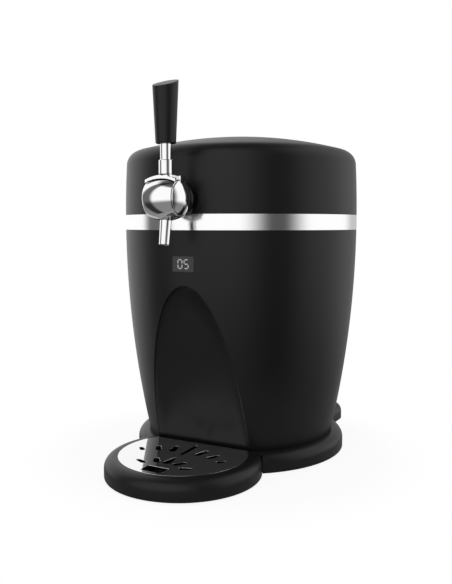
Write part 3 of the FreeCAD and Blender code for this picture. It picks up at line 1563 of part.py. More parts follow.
grip = place(
    turned(
        "grip",
        [
            ("0", "rod_top"),
            ("handle_low_radius", "rod_top"),
            ("handle_high_radius", f"handle_top + {HANDLE_RISE}"),
            ("0", f"handle_top + {HANDLE_RISE}"),
        ],
    ),
    y="-tap_y",
)
# the grip's top is sliced off on a slant, low in front
slope = body("handle_slope")
TOP_HIGH, TOP_LOW = f"handle_top + 2*{HANDLE_RISE}", f"handle_top - 2*{HANDLE_RISE}"
AHEAD, BEHIND_GRIP = "-tap_y - 2*handle_high_radius", "-tap_y + 2*handle_high_radius"
slope_face = outline(
    sketch(slope, "YZ_Plane", "-2*handle_high_radius"),
    [(AHEAD, TOP_LOW), (BEHIND_GRIP, TOP_HIGH), (AHEAD, TOP_HIGH)],
)
pad(slope, slope_face, "4*handle_high_radius")
node(cut("grip_cut", grip, slope), "tap_handle")

# valve: a plunger under the cam, with a seal above its foot
WAIST_R = "(valve_radius - valve_groove/2)"
valve_rod = rod("valve_rod", "valve_radius", "valve_head", "0", "-tap_y", f"{VALVE_TOP} - valve_head")
BELOW = ("0", "-tap_y", f"{VALVE_TOP} - valve_length")
valve_waist = rod("valve_waist", WAIST_R, "valve_length - valve_head", *BELOW)
valve_foot = rod("valve_base", "valve_bore - valve_groove/2", "valve_foot", *BELOW)
node(fuse("valve_mass", [valve_rod, valve_waist, valve_foot]), "valve_plunger")
SEAL_ROOM = ("-valve_length + valve_foot + slip", "-valve_head - slip")
valve_ring = ring("valve_ring", WAIST_R, "valve_bore - 2*fit_gap", *SEAL_ROOM)
node(place(valve_ring, y="-tap_y", z=VALVE_TOP), "valve_seal")

# check every object and write each part

doc.recompute()
faults = [o.Name for o in doc.Objects if {"Invalid", "Error"} & set(o.State)]
faults += [o.Label for o in nodes if o.Shape.isNull() or not o.Shape.isValid() or not o.Shape.Solids]
if faults:
    raise RuntimeError("not built: " + ", ".join(faults))
os.makedirs("parts", exist_ok=True)
for part in nodes:
    part.Shape.exportStep(f"parts/{part.Label}.step")
    print(part.Label, len(part.Shape.Solids), round(part.Shape.Volume / 1000, 2), "cm3")
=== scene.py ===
import math

import bpy
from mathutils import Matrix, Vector


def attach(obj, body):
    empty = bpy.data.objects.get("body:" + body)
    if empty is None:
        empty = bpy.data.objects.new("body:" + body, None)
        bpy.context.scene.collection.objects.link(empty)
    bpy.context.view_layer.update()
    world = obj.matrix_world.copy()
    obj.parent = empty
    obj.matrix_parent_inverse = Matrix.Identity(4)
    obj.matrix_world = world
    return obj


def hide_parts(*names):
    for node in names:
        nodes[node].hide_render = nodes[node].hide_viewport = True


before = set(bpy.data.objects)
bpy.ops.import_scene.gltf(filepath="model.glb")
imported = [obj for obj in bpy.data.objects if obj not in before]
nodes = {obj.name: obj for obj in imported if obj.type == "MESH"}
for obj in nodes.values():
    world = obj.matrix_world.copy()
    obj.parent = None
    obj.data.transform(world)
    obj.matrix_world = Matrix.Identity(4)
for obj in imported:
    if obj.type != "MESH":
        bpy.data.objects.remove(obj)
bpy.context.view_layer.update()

mm = 0.001  # sizes in the dictionaries are millimetres, and the code turns them to metres
work = {"drawnMerge": 0.002, "copiedMerge": 0.004, "smooth": 35, "copySmooth": 30}  # mm, degrees


def deselect():
    if bpy.context.mode != "OBJECT":
        bpy.ops.object.mode_set(mode="OBJECT")
    bpy.ops.object.select_all(action="DESELECT")


def pick(piece):
    deselect()
    piece.select_set(True)
    bpy.context.view_layer.objects.active = piece


def startPoint(name, spot):
    # one loose vertex to draw an outline from, left in edit mode
    deselect()
    bpy.ops.mesh.primitive_plane_add(size=mm)
    piece = bpy.context.object
    piece.name = name
    piece.data.name = name
    bpy.ops.object.mode_set(mode="EDIT")
    bpy.ops.mesh.select_all(action="SELECT")
    bpy.ops.mesh.merge(type="CENTER")
    bpy.ops.transform.translate(value=spot)
    return piece


def drawLine(name, spots):
    # an outline drawn by extruding one vertex from spot to spot
    metres = [Vector(spot) * mm for spot in spots]
    piece = startPoint(name, metres[0])
    for before, after in zip(metres, metres[1:]):
        bpy.ops.mesh.extrude_region_move(TRANSFORM_OT_translate={"value": after - before})
    bpy.ops.mesh.select_all(action="SELECT")
    return piece


def smoothEdges(piece, angle=work["smooth"]):
    pick(piece)
    bpy.ops.object.shade_smooth_by_angle(angle=math.radians(angle))
    return piece


def finishMesh(piece, angle=work["smooth"]):
    bpy.ops.mesh.select_all(action="SELECT")
    bpy.ops.mesh.remove_doubles(threshold=work["drawnMerge"] * mm)
    bpy.ops.mesh.normals_make_consistent(inside=False)
    bpy.ops.object.mode_set(mode="OBJECT")
    return smoothEdges(piece, angle)


def turnRound(name, outline, centre=(0, 0, 0), axis=(0, 0, 1), across=(1, 0, 0), steps=192):
    # spins a closed outline of (radius, distance along the axis) pairs about an axis
    # through the centre
    centre = Vector(centre)
    axis, across = Vector(axis).normalized(), Vector(across).normalized()
    spots = [centre + across * radius + axis * along for radius, along in outline]
    piece = drawLine(name, spots + spots[:1])
    bpy.ops.mesh.remove_doubles(threshold=work["drawnMerge"] * mm)
    bpy.ops.mesh.select_all(action="SELECT")
    bpy.ops.mesh.spin(steps=steps, angle=2 * math.pi, center=centre * mm, axis=axis)
    return finishMesh(piece)


def pushShape(name, spots, way):
    # a closed flat outline pushed along a vector
    piece = drawLine(name, spots)
    bpy.ops.mesh.edge_face_add()
    bpy.ops.mesh.extrude_region_move(TRANSFORM_OT_translate={"value": Vector(way) * mm})
    return finishMesh(piece)


def makeBlock(name, low, high):
    (x0, y0, z0), (x1, y1, z1) = low, high
    spots = [(x0, y0, z0), (x1, y0, z0), (x1, y1, z0), (x0, y1, z0)]
    return pushShape(name, spots, (0, 0, z1 - z0))


def arc(cx, cy, radius, start, end, count):
    # points on an arc, with its angles in degrees
    turns = [math.radians(start + (end - start) * i / count) for i in range(count + 1)]
    return [(cx + radius * math.cos(turn), cy + radius * math.sin(turn)) for turn in turns]


def combine(piece, tool, operation="DIFFERENCE"):
    pick(piece)
    made = piece.modifiers.new("combine", "BOOLEAN")
    made.operation = operation
    made.solver = "EXACT"
    made.object = tool
    bpy.ops.object.modifier_apply(modifier=made.name)
    bpy.data.objects.remove(tool)


def softenEdges(piece, width, segments=2, angle=30):
    # rounds the edges that are sharper than the angle
    pick(piece)
    made = piece.modifiers.new("edges", "BEVEL")
    made.width = width * mm
    made.segments = segments
    made.limit_method = "ANGLE"
    made.angle_limit = math.radians(angle)
    bpy.ops.object.modifier_apply(modifier=made.name)
    return smoothEdges(piece)


def copyNode(node, name):
    # a CAD node's shape as one smooth mesh
    source = nodes[node]
    piece = bpy.data.objects.new(name, source.data.copy())
    bpy.context.scene.collection.objects.link(piece)
    piece.data.name = name
    pick(piece)
    bpy.ops.object.mode_set(mode="EDIT")
    bpy.ops.mesh.select_all(action="SELECT")
    if piece.data.has_custom_normals:
        bpy.ops.mesh.customdata_custom_splitnormals_clear()
    bpy.ops.mesh.remove_doubles(threshold=work["copiedMerge"] * mm)
    bpy.ops.object.mode_set(mode="OBJECT")
    return smoothEdges(piece, work["copySmooth"])


def seat(piece, body, material, node):
    # gives a piece its finish and its body, and hides the CAD node that it stands for
    piece.data.materials.clear()
    piece.data.materials.append(finish[material])
    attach(piece, body)
    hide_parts(node)


# what each finish is, and its values: a grain is its size, strength and depth, with sizes in
# millimetres, and a spread is the lowest and highest roughness over that grain
finishes = {
    # ABS moulded against a spark-eroded tool: deep black with a satin sheen and a fine even grain
    "satin": {
        "name": "mouldedSatinAbs",
        "colour": "#141415",
        "roughness": 0.36,
        "spread": (0.34, 0.39),
        "ior": 1.5,
        "specular": 0.33,
        "grain": (0.7, 0.10, 0.2),
    },
    # the handle's and tray's ABS, from a finer tool than the housing's
    "grip": {
        "name": "satinHandleAbs",
        "colour": "#131314",
        "roughness": 0.36,
        "spread": (0.34, 0.40),
        "ior": 1.5,
        "specular": 0.33,
        "grain": (0.6, 0.06, 0.2),
    },
    # polished ABS: black with a clear reflection
    "gloss": {
        "name": "glossBlackAbs",
        "colour": "#0a0a0b",
        "roughness": 0.12,
        "ior": 1.5,
        "grain": (4, 0.03, 0.3),
    },
    # stainless strip, polished along its length: the reflection smears a little
    "band": {
        "name": "polishedStainlessBand",
        "colour": "#fefefe",
        "metallic": 1,
        "roughness": 0.14,
        "lines": (25, 1 / 2.6, 0.02, 0.1),  # length, width, strength, depth
    },
    # nickel-chrome plate over zinc: a near mirror with the faintest casting waviness
    "chrome": {
        "name": "chromePlate",
        "colour": "#fbfbfb",
        "metallic": 1,
        "roughness": 0.035,
        "grain": (12, 0.02, 0.4),
        "detail": 1,
    },
    # mirror-polished stainless sheet: a clear reflection with a slow wave
    "sheet": {
        "name": "mirrorStainlessSheet",
        "colour": "#f6f6f6",
        "metallic": 1,
        "roughness": 0.05,
        "grain": (20, 0.015, 0.3),
        "detail": 1,
    },
    # machined steel for screws, pins and the tap's shank: a grey, broken shine
    "steel": {
        "name": "machinedSteel",
        "colour": "#b4b4b2",
        "metallic": 1,
        "roughness": 0.32,
        "grain": (0.8, 0.08, 0.1),
    },
    # drawn and bead-blasted aluminium: soft bright grey
    "aluminium": {
        "name": "drawnAluminium",
        "colour": "#c9cacc",
        "metallic": 1,
        "roughness": 0.38,
        "grain": (0.9, 0.10, 0.2),
    },
    # turned brass: warm yellow with a fine tool mark
    "brass": {
        "name": "turnedBrass",
        "colour": "#c8a45a",
        "metallic": 1,
        "roughness": 0.28,
        "grain": (0.9, 0.06, 0.1),
    },
    # moulded nitrile rubber: dull, dusty black
    "rubber": {
        "name": "mouldedRubber",
        "colour": "#1b1b1b",
        "roughness": 0.75,
        "ior": 1.52,
        "grain": (1.2, 0.2, 0.3),
    },
    # expanded foam with visible beads
    "foam": {
        "name": "expandedFoam",
        "colour": "#ebe8df",
        "roughness": 0.85,
        "beads": (3, 0.5, 0.6),  # width, strength, depth
    },
    # vacuum-formed polystyrene liner: smooth pale grey
    "liner": {
        "name": "formedPolystyrene",
        "colour": "#b9babb",
        "roughness": 0.4,
        "ior": 1.59,
        "grain": (2, 0.08, 0.3),
    },
    # solder mask over glass laminate: green with a soft shine
    "board": {
        "name": "solderMask",
        "colour": "#1f5a34",
        "roughness": 0.3,
        "ior": 1.5,
        "grain": (1, 0.05, 0.2),
    },
    # fired alumina: a dense dull white
    "ceramic": {
        "name": "aluminaCeramic",
        "colour": "#e8e6e0",
        "roughness": 0.5,
        "grain": (0.6, 0.1, 0.2),
    },
    # food-grade silicone hose, extruded: milky
    "hose": {
        "name": "siliconeHose",
        "colour": "#dcdcd6",
        "roughness": 0.35,
        "ior": 1.41,
        "grain": (3, 0.05, 0.3),
    },
    # smoked acrylic over the figures: a shade lighter than the housing round it
    "window": {
        "name": "smokedAcrylic",
        "colour": "#303031",
        "roughness": 0.22,
        "ior": 1.49,
        "grain": (3, 0.02, 0.2),
    },
    # white light through a diffuser
    "figure": {
        "name": "diffusedFigure",
        "colour": "#707274",
        "roughness": 0.5,
        "light": "#d7dadc",
        "glow": 0.45,
    },
}
noiseWork = {"roughness": 0.55, "detail": 2.0, "lineDetail": 3.0, "range": (0.3, 0.7)}


def linear(hexColour):
    # the sRGB curve, and full opacity
    shades = []
    for i in (1, 3, 5):
        c = int(hexColour[i:i + 2], 16) / 255
        shades.append(c / 12.92 if c <= 0.04045 else ((c + 0.055) / 1.055) ** 2.4)
    return (*shades, 1)


def addNode(tree, kind, settings=None, links=None):
    made = tree.nodes.new(kind)
    for key, setting in (settings or {}).items():
        if isinstance(key, str) and hasattr(made, key) and key not in made.inputs:
            setattr(made, key, setting)
        else:
            made.inputs[key].default_value = setting
    for key, source in (links or {}).items():
        tree.links.new(source, made.inputs[key])
    return made


def raiseSurface(tree, shader, height, strength, depth, invert=False):
    # lets a pattern stand out of the surface
    bump = addNode(
        tree,
        "ShaderNodeBump",
        {"invert": invert, "Strength": strength, "Distance": depth * mm},
        {"Height": height},
    )
    tree.links.new(bump.outputs["Normal"], shader.inputs["Normal"])


def addGrain(tree, shader, values):
    # moulded or cast texture, and a roughness that varies with it
    size, strength, depth = values["grain"]
    place = addNode(tree, "ShaderNodeTexCoord")
    noise = addNode(
        tree,
        "ShaderNodeTexNoise",
        {
            "Scale": 1 / (size * mm),
            "Detail": values.get("detail", noiseWork["detail"]),
            "Roughness": noiseWork["roughness"],
        },
        {"Vector": place.outputs["Object"]},
    )
    raiseSurface(tree, shader, noise.outputs["Fac"], strength, depth)
    if "spread" in values:
        spread = addNode(
            tree,
            "ShaderNodeMapRange",
            {
                "From Min": noiseWork["range"][0],
                "From Max": noiseWork["range"][1],
                "To Min": values["spread"][0],
                "To Max": values["spread"][1],
            },
            {"Value": noise.outputs["Fac"]},
        )
        tree.links.new(spread.outputs["Result"], shader.inputs["Roughness"])


def addPolishLines(tree, shader, values):
    # polishing marks that run round the strip
    length, width, strength, depth = values["lines"]
    place = addNode(tree, "ShaderNodeTexCoord")
    stretch = addNode(
        tree,
        "ShaderNodeMapping",
        {"Scale": (1 / (length * mm), 1 / (length * mm), 1 / (width * mm))},
        {"Vector": place.outputs["Object"]},
    )
    lines = addNode(
        tree,
        "ShaderNodeTexNoise",
        {"Scale": 1.0, "Detail": noiseWork["lineDetail"]},
        {"Vector": stretch.outputs["Vector"]},
    )
    raiseSurface(tree, shader, lines.outputs["Fac"], strength, depth)


def addBeads(tree, shader, values):
    # beads pressed together, with grooves between them
    width, strength, depth = values["beads"]
    place = addNode(tree, "ShaderNodeTexCoord")
    beads = addNode(
        tree,
        "ShaderNodeTexVoronoi",
        {"Scale": 1 / (width * mm)},
        {"Vector": place.outputs["Object"]},
    )
    raiseSurface(tree, shader, beads.outputs["Distance"], strength, depth, True)


def makeFinish(values):
    material = bpy.data.materials.new(values["name"])
    material.use_nodes = True
    tree = material.node_tree
    shader = tree.nodes["Principled BSDF"]
    shader.inputs["Base Color"].default_value = linear(values["colour"])
    for key, socket in (
        ("metallic", "Metallic"),
        ("roughness", "Roughness"),
        ("ior", "IOR"),
        ("specular", "Specular IOR Level"),
        ("glow", "Emission Strength"),
    ):
        if key in values:
            shader.inputs[socket].default_value = values[key]
    if "light" in values:
        shader.inputs["Emission Color"].default_value = linear(values["light"])
    for key, addPattern in (("grain", addGrain), ("lines", addPolishLines), ("beads", addBeads)):
        if key in values:
            addPattern(tree, shader, values)
    return material


finish = {key: makeFinish(values) for key, values in finishes.items()}
print("materials made")

# the finish of each CAD node
nodeFinish = {
    "rubber": ["rubber_feet", "lid_seal", "shank_gasket", "valve_seal"],
    "steel": [
        "base_screws", "cover_screws", "lid_hinge_pin", "lever_pivot_pin", "tap_shank",
        "valve_plunger",
    ],
    "aluminium": ["keg_well", "cold_block", "heat_sink"],
    "foam": ["well_insulation", "lid_insulation"],
    "liner": ["lid_liner"],
    "board": ["power_board", "display_board"],
    "ceramic": ["peltier_module"],
    "hose": ["beer_hose"],
    "brass": ["shank_nut"],
    "window": ["display_window"],
    "figure": ["display_digits"],
    "gloss": ["switch_rocker", "tap_escutcheon"],
    "satin": [
        "chamber_collar", "base_cover", "fan_frame", "fan_rotor", "rear_cover", "power_inlet",
        "switch_frame", "lower_shell", "recess_panel", "upper_shell", "base_housing", "lid_shell",
    ],
    "grip": ["tap_handle", "drip_tray"],
    "chrome": [
        "tap_body", "tap_cap_left", "tap_cap_right", "tap_spout", "tap_collar", "lever_saddle",
        "lever_stem", "lever_rod",
    ],
    "sheet": ["drip_grille"],
    "band": ["steel_band"],
}
for key, names in nodeFinish.items():
    for name in names:
        nodes[name].data.materials.clear()
        nodes[name].data.materials.append(finish[key])
print("CAD nodes finished")


# the barrel's side is one long arc about its waist, and the shells, base and recess follow it
barrel = {
    "waist": 140.5,
    "waistHeight": 276,
    "bulge": 1195,
    "wall": 3,
    "foot": 20.2,
    "bandLow": 266.5,
    "bandHigh": 284.4,
    "shoulderHeight": 344,
    "shoulderRound": 17,
    "roofSlope": 15.3,
    "ledgeDrop": 3,
    "steps": 256,
}


def barrelRadius(height, inset=0.0):
    rise = height - barrel["waistHeight"]
    return barrel["waist"] - barrel["bulge"] + math.sqrt((barrel["bulge"] - inset) ** 2 - rise**2)


def barrelSide(low, high, rows, inset=0.0):
    heights = [low + (high - low) * i / rows for i in range(rows + 1)]
    return [(barrelRadius(height, inset), height) for height in heights]


# the shoulder's round is tangent to the barrel's side and ends at the lid's seam
lean = math.asin((barrel["shoulderHeight"] - barrel["waistHeight"]) / barrel["bulge"])
shoulderR = barrelRadius(barrel["shoulderHeight"]) - barrel["shoulderRound"] * math.cos(lean)
shoulderZ = barrel["shoulderHeight"] - barrel["shoulderRound"] * math.sin(lean)
shoulderTop = 90 - barrel["roofSlope"]
roofLean = math.radians(barrel["roofSlope"])
seamR = shoulderR + barrel["shoulderRound"] * math.sin(roofLean)
seamZ = shoulderZ + barrel["shoulderRound"] * math.cos(roofLean)
ledgeZ = seamZ - barrel["ledgeDrop"]


view = {
    "place": (393.36, -795.57, 272.78),
    "turn": 27.498,
    "pitch": 5.384,
    "focal": 715.44,  # in pixels
    "frameHeight": 584,
    "sensor": 36.0,
    "nearest": 10,
}


def makeCamera():
    camera = bpy.data.cameras.new("camera")
    holder = bpy.data.objects.new("camera", camera)
    bpy.context.scene.collection.objects.link(holder)
    holder.location = Vector(view["place"]) * mm
    holder.rotation_euler = (math.radians(90 - view["pitch"]), 0, math.radians(view["turn"]))
    camera.sensor_width = view["sensor"]
    camera.lens = view["focal"] / view["frameHeight"] * view["sensor"]
    camera.clip_start = view["nearest"] * mm
    bpy.context.scene.camera = holder
    bpy.context.scene.view_settings.view_transform = "Standard"


# each row is where a fade starts and ends, and the light at its start and at its end: top and
# low go by height, and the others by degrees round the object, from its front to its right
studio = {
    "gapTurns": {"leftGap": -62, "rightGap": 61.5},
    "leftGap": (9, 23, 0.13, 1.0),
    "rightGap": (5, 37, 0.08, 1.0),
    "behind": (143, 165, 1.0, 0.55),
    "lowLeft": (85, 150, 0.0, 0.8),
    "lowRight": (110, 150, 0.0, 0.3),
    "lowBehind": (155, 180, 0.0, 0.8),
    "top": (0.80, 0.92, 1.0, 0.10),
    "low": (-0.42, -0.10, 0.22, 1.0),
}


def makeWorld():
    # a white studio: two dark gaps beside the front card, a dim ceiling, a dimmer wall behind,
    # and the card ends above the floor, so that only the sides and the back stay bright low down
    world = bpy.data.worlds.new("studio")
    bpy.context.scene.world = world
    world.use_nodes = True
    tree = world.node_tree
    tree.nodes.clear()
    place = addNode(tree, "ShaderNodeTexCoord")
    parts = addNode(tree, "ShaderNodeSeparateXYZ", None, {"Vector": place.outputs["Generated"]})
    height = parts.outputs["Z"]
    forwards = addNode(
        tree, "ShaderNodeMath", {"operation": "MULTIPLY", 1: -1.0}, {0: parts.outputs["Y"]}
    ).outputs["Value"]
    turn = addNode(
        tree, "ShaderNodeMath", {"operation": "ARCTAN2"}, {0: parts.outputs["X"], 1: forwards}
    ).outputs["Value"]
    leftTurn = addNode(
        tree, "ShaderNodeMath", {"operation": "MULTIPLY", 1: -1.0}, {0: turn}
    ).outputs["Value"]
    anyTurn = addNode(
        tree, "ShaderNodeMath", {"operation": "ABSOLUTE"}, {0: turn}
    ).outputs["Value"]
    turns = {"lowLeft": leftTurn, "lowRight": turn, "lowBehind": anyTurn, "behind": anyTurn}
    for key, gapTurn in studio["gapTurns"].items():
        away = addNode(
            tree,
            "ShaderNodeMath",
            {"operation": "SUBTRACT", 1: math.radians(gapTurn)},
            {0: turn},
        ).outputs["Value"]
        turns[key] = addNode(
            tree, "ShaderNodeMath", {"operation": "ABSOLUTE"}, {0: away}
        ).outputs["Value"]
    light = {}
    for key, source in list(turns.items()) + [("top", height), ("low", height)]:
        start, end, first, last = studio[key]
        if key in turns:
            start, end = math.radians(start), math.radians(end)
        light[key] = addNode(
            tree,
            "ShaderNodeMapRange",
            {
                "interpolation_type": "SMOOTHSTEP",
                "From Min": start,
                "From Max": end,
                "To Min": first,
                "To Max": last,
            },
            {"Value": source},
        ).outputs["Result"]
    rays = addNode(tree, "ShaderNodeLightPath")
    foot, level = light["low"], light["leftGap"]
    for key in ("lowLeft", "lowRight", "lowBehind"):
        foot = addNode(
            tree, "ShaderNodeMath", {"operation": "MAXIMUM"}, {0: foot, 1: light[key]}
        ).outputs["Value"]
    for operation, other in (
        ("MINIMUM", light["rightGap"]),
        ("MULTIPLY", light["behind"]),
        ("MULTIPLY", light["top"]),
        ("MULTIPLY", foot),
        ("MAXIMUM", rays.outputs["Is Camera Ray"]),
    ):
        level = addNode(
            tree, "ShaderNodeMath", {"operation": operation}, {0: level, 1: other}
        ).outputs["Value"]
    background = addNode(
        tree, "ShaderNodeBackground", {"Color": (1, 1, 1, 1)}, {"Strength": level}
    )
    output = addNode(tree, "ShaderNodeOutputWorld")
    tree.links.new(background.outputs["Background"], output.inputs["Surface"])


floorPlan = {
    "radius": 260,
    "centreY": -40,
    "corners": 96,
    "colour": "#f4f4f4",
    "glow": 0.9,
    "mirrored": 0.26,
    "fade": (170, 250),
}


def makeFloor():
    # pale floor that keeps a soft shadow near the object and runs out into white
    deselect()
    bpy.ops.mesh.primitive_circle_add(
        vertices=floorPlan["corners"],
        radius=floorPlan["radius"] * mm,
        fill_type="NGON",
        location=(0, floorPlan["centreY"] * mm, 0),
    )
    floor = bpy.context.object
    floor.name = "floor"
    material = bpy.data.materials.new("paleFloor")
    material.use_nodes = True
    tree = material.node_tree
    tree.nodes.clear()
    matt = addNode(tree, "ShaderNodeBsdfDiffuse", {"Color": linear(floorPlan["colour"])})
    rays = addNode(tree, "ShaderNodeLightPath")
    mirrored = addNode(
        tree,
        "ShaderNodeMath",
        {"operation": "MAXIMUM"},
        {0: rays.outputs["Is Glossy Ray"], 1: rays.outputs["Is Transmission Ray"]},
    )
    strength = addNode(
        tree,
        "ShaderNodeMath",
        {"operation": "MAXIMUM", 1: floorPlan["mirrored"]},
        {0: rays.outputs["Is Camera Ray"]},
    )
    glow = addNode(
        tree, "ShaderNodeEmission", {"Color": (1, 1, 1, 1)}, {"Strength": strength.outputs["Value"]}
    )
    place = addNode(tree, "ShaderNodeTexCoord")
    reach = addNode(
        tree, "ShaderNodeVectorMath", {"operation": "LENGTH"}, {0: place.outputs["Object"]}
    )
    edge = addNode(
        tree,
        "ShaderNodeMapRange",
        {
            "From Min": floorPlan["fade"][0] * mm,
            "From Max": floorPlan["fade"][1] * mm,
            "To Min": floorPlan["glow"],
            "To Max": 1.0,
        },
        {"Value": reach.outputs["Value"]},
    )
    seen = addNode(
        tree,
        "ShaderNodeMath",
        {"operation": "MULTIPLY"},
        {0: rays.outputs["Is Camera Ray"], 1: edge.outputs["Result"]},
    )
    share = addNode(
        tree,
        "ShaderNodeMath",
        {"operation": "MAXIMUM"},
        {0: seen.outputs["Value"], 1: mirrored.outputs["Value"]},
    )
    mix = addNode(
        tree,
        "ShaderNodeMixShader",
        None,
        {0: share.outputs["Value"], 1: matt.outputs["BSDF"], 2: glow.outputs["Emission"]},
    )
    output = addNode(tree, "ShaderNodeOutputMaterial")
    tree.links.new(mix.outputs["Shader"], output.inputs["Surface"])
    floor.data.materials.append(material)


skyLamp = {"height": 1600, "size": 1800, "power": 15}


def makeLamp():
    # a broad soft lamp overhead; the metal doesn't show it
    lamp = bpy.data.lights.new("skyLamp", "AREA")
    lamp.shape = "DISK"
    lamp.size = skyLamp["size"] * mm
    lamp.energy = skyLamp["power"]
    holder = bpy.data.objects.new("skyLamp", lamp)
    holder.location = (0, 0, skyLamp["height"] * mm)
    holder.visible_glossy = False
    bpy.context.scene.collection.objects.link(holder)


makeCamera()
makeWorld()
makeLamp()
makeFloor()
print("camera, light and floor made")


bandPiece = {"gauge": 0.7, "edge": 0.25, "gap": 0.15, "rows": 8}


def makeBand():
    low = barrel["bandLow"] + bandPiece["gap"]
    high = barrel["bandHigh"] - bandPiece["gap"]
    edge = bandPiece["edge"]
    side = barrelSide(low + edge, high - edge, bandPiece["rows"])
    inner = barrelRadius(low) - bandPiece["gauge"]
    outline = [(inner, low), (side[0][0] - edge, low)]
    outline += side + [(side[-1][0] - edge, high), (inner, high)]
    band = turnRound("steelBand", outline, steps=barrel["steps"])
    seat(band, "housing", "band", "steel_band")


upperPiece = {
    "edge": 0.4,
    "neckStep": 1,  # the neck passes inside the band
    "neckDrop": 8,
    "rows": 16,
    "innerRows": 8,
    "shoulderRows": 20,
    "shoulderShort": 1,  # degrees left for the seam's round
    "seamRound": 0.4,
    "seamIn": 0.1,
    "seamDown": 0.45,
    "seamRows": 4,
    "ledgeEdge": 0.5,
    "ledgeWidth": 6.5,
    "ledgeGauge": 3,
    "innerTop": 45,
    "hingeY": 131.5,
    "hingeZ": 362.23,
    "earX": 30.9,
    "earLength": 11,
    "earRadius": 4.2,
    "earRows": 16,
    "earSink": 5.5,
    "earFlare": 0.8,
    "earEdge": 0.5,
}


def makeUpperShell():
    values, wall, shoulder = upperPiece, barrel["wall"], barrel["shoulderRound"]
    low, high, start = barrel["bandHigh"], barrel["shoulderHeight"], math.degrees(lean)
    edge, neckZ = values["edge"], low - values["neckDrop"]
    neckR, ledgeR = barrelRadius(low) - values["neckStep"], seamR - values["ledgeWidth"]
    outline = [(barrelRadius(low, wall), neckZ), (neckR, neckZ)]
    outline += [(neckR, low), (barrelRadius(low) - edge, low)]
    outline += barrelSide(low + edge, high, values["rows"])
    end = shoulderTop - values["shoulderShort"]
    outline += arc(shoulderR, shoulderZ, shoulder, start, end, values["shoulderRows"])[1:]
    roundR, roundZ = seamR - values["seamIn"], seamZ - values["seamDown"]
    outline += arc(roundR, roundZ, values["seamRound"], shoulderTop, 180, values["seamRows"])
    outline += [(seamR - values["ledgeEdge"], ledgeZ), (ledgeR, ledgeZ)]
    outline += [(ledgeR, ledgeZ - values["ledgeGauge"])]
    rows, end = values["innerRows"], values["innerTop"]
    outline += reversed(arc(shoulderR, shoulderZ, shoulder - wall, start, end, rows))
    outline += reversed(barrelSide(neckZ, high, rows, wall)[1:-1])
    shell = turnRound("upperShell", outline, steps=barrel["steps"])
    foot, flare = seamZ - values["earSink"], values["earFlare"]
    for side in (-1, 1):
        x = side * values["earX"] - values["earLength"] / 2
        rim = arc(
            values["hingeY"], values["hingeZ"], values["earRadius"], 0, 180, values["earRows"]
        )
        rim = [(rim[0][0] - flare, foot)] + rim + [(rim[-1][0] + flare, foot)]
        ear = pushShape("ear", [(x, y, z) for y, z in rim], (values["earLength"], 0, 0))
        combine(shell, softenEdges(ear, values["earEdge"]), "UNION")
    seat(smoothEdges(shell), "housing", "satin", "upper_shell")


lidPiece = {
    "gap": 0.5,
    "wall": 2.5,
    "edge": 0.5,
    "edgeRows": 4,
    "edgeDrop": 0.12,
    "low": 0.3,
    "domeStart": 0.35,  # degrees past the seam
    "domeRows": 48,
    "innerStart": 0.9,
    "innerRows": 16,
    "knuckle": 4.2,
    "knuckleHalf": 25,
    "knuckleRows": 20,
    "knuckleEdge": 0.5,
    "armDepth": 15,
    "armTop": 2.4,
    "armLow": 0.5,
    "armBack": 4,
}


def makeLid():
    values = lidPiece
    rim, edge, wall = seamR - values["gap"], values["edge"], values["wall"]
    domeR = rim / math.sin(roofLean)
    domeZ = seamZ - domeR * math.cos(roofLean)
    outline = [(rim - wall, ledgeZ + values["low"]), (rim, ledgeZ + values["low"])]
    edgeZ = seamZ - edge - values["edgeDrop"]
    outline += arc(rim - edge, edgeZ, edge, 0, shoulderTop, values["edgeRows"])
    outline += arc(0, domeZ, domeR, shoulderTop + values["domeStart"], 90, values["domeRows"])
    inner = arc(0, domeZ, domeR - wall, shoulderTop + values["innerStart"], 90, values["innerRows"])
    outline += reversed(inner)
    lid = turnRound("lidShell", outline, steps=barrel["steps"])
    y, z, half = upperPiece["hingeY"], upperPiece["hingeZ"], values["knuckleHalf"]
    armY, armZ = y - values["armDepth"], seamZ + values["armLow"]
    spots = arc(y, z, values["knuckle"], -90, 90, values["knuckleRows"])
    spots += [(armY, z + values["armTop"]), (armY, armZ), (y - values["armBack"], armZ)]
    knuckle = pushShape("knuckle", [(-half, a, b) for a, b in spots], (2 * half, 0, 0))
    combine(lid, softenEdges(knuckle, values["knuckleEdge"]), "UNION")
    seat(smoothEdges(lid), "lid", "satin", "lid_shell")


# pairs run from the recess's foot to its top
recess = {
    "footDepth": 17.2,
    "footHeight": 18,
    "topHeight": 209,
    "crown": 3000,
    "below": 0.6,
    "above": 10.4,
    "apexRange": (-30, 8),
    "apexTries": 40,
    "sink": (1.2, 8.0),
    "dish": ((6, 28), 14),  # widths and slope
    "edge": ((1, 7), 36),
    "play": 0.05,
    "plate": 1.6,
    "leastHalf": 0.1,
    "rimSpots": 400,
    "columns": 90,
    "rows": 120,
    "smooth": 50,
}


def alongRecess(pair, height):
    # a value that runs from the recess's foot to its top
    share = (height - recess["footHeight"]) / (recess["topHeight"] - recess["footHeight"])
    return pair[0] + (pair[1] - pair[0]) * min(max(share, 0), 1)


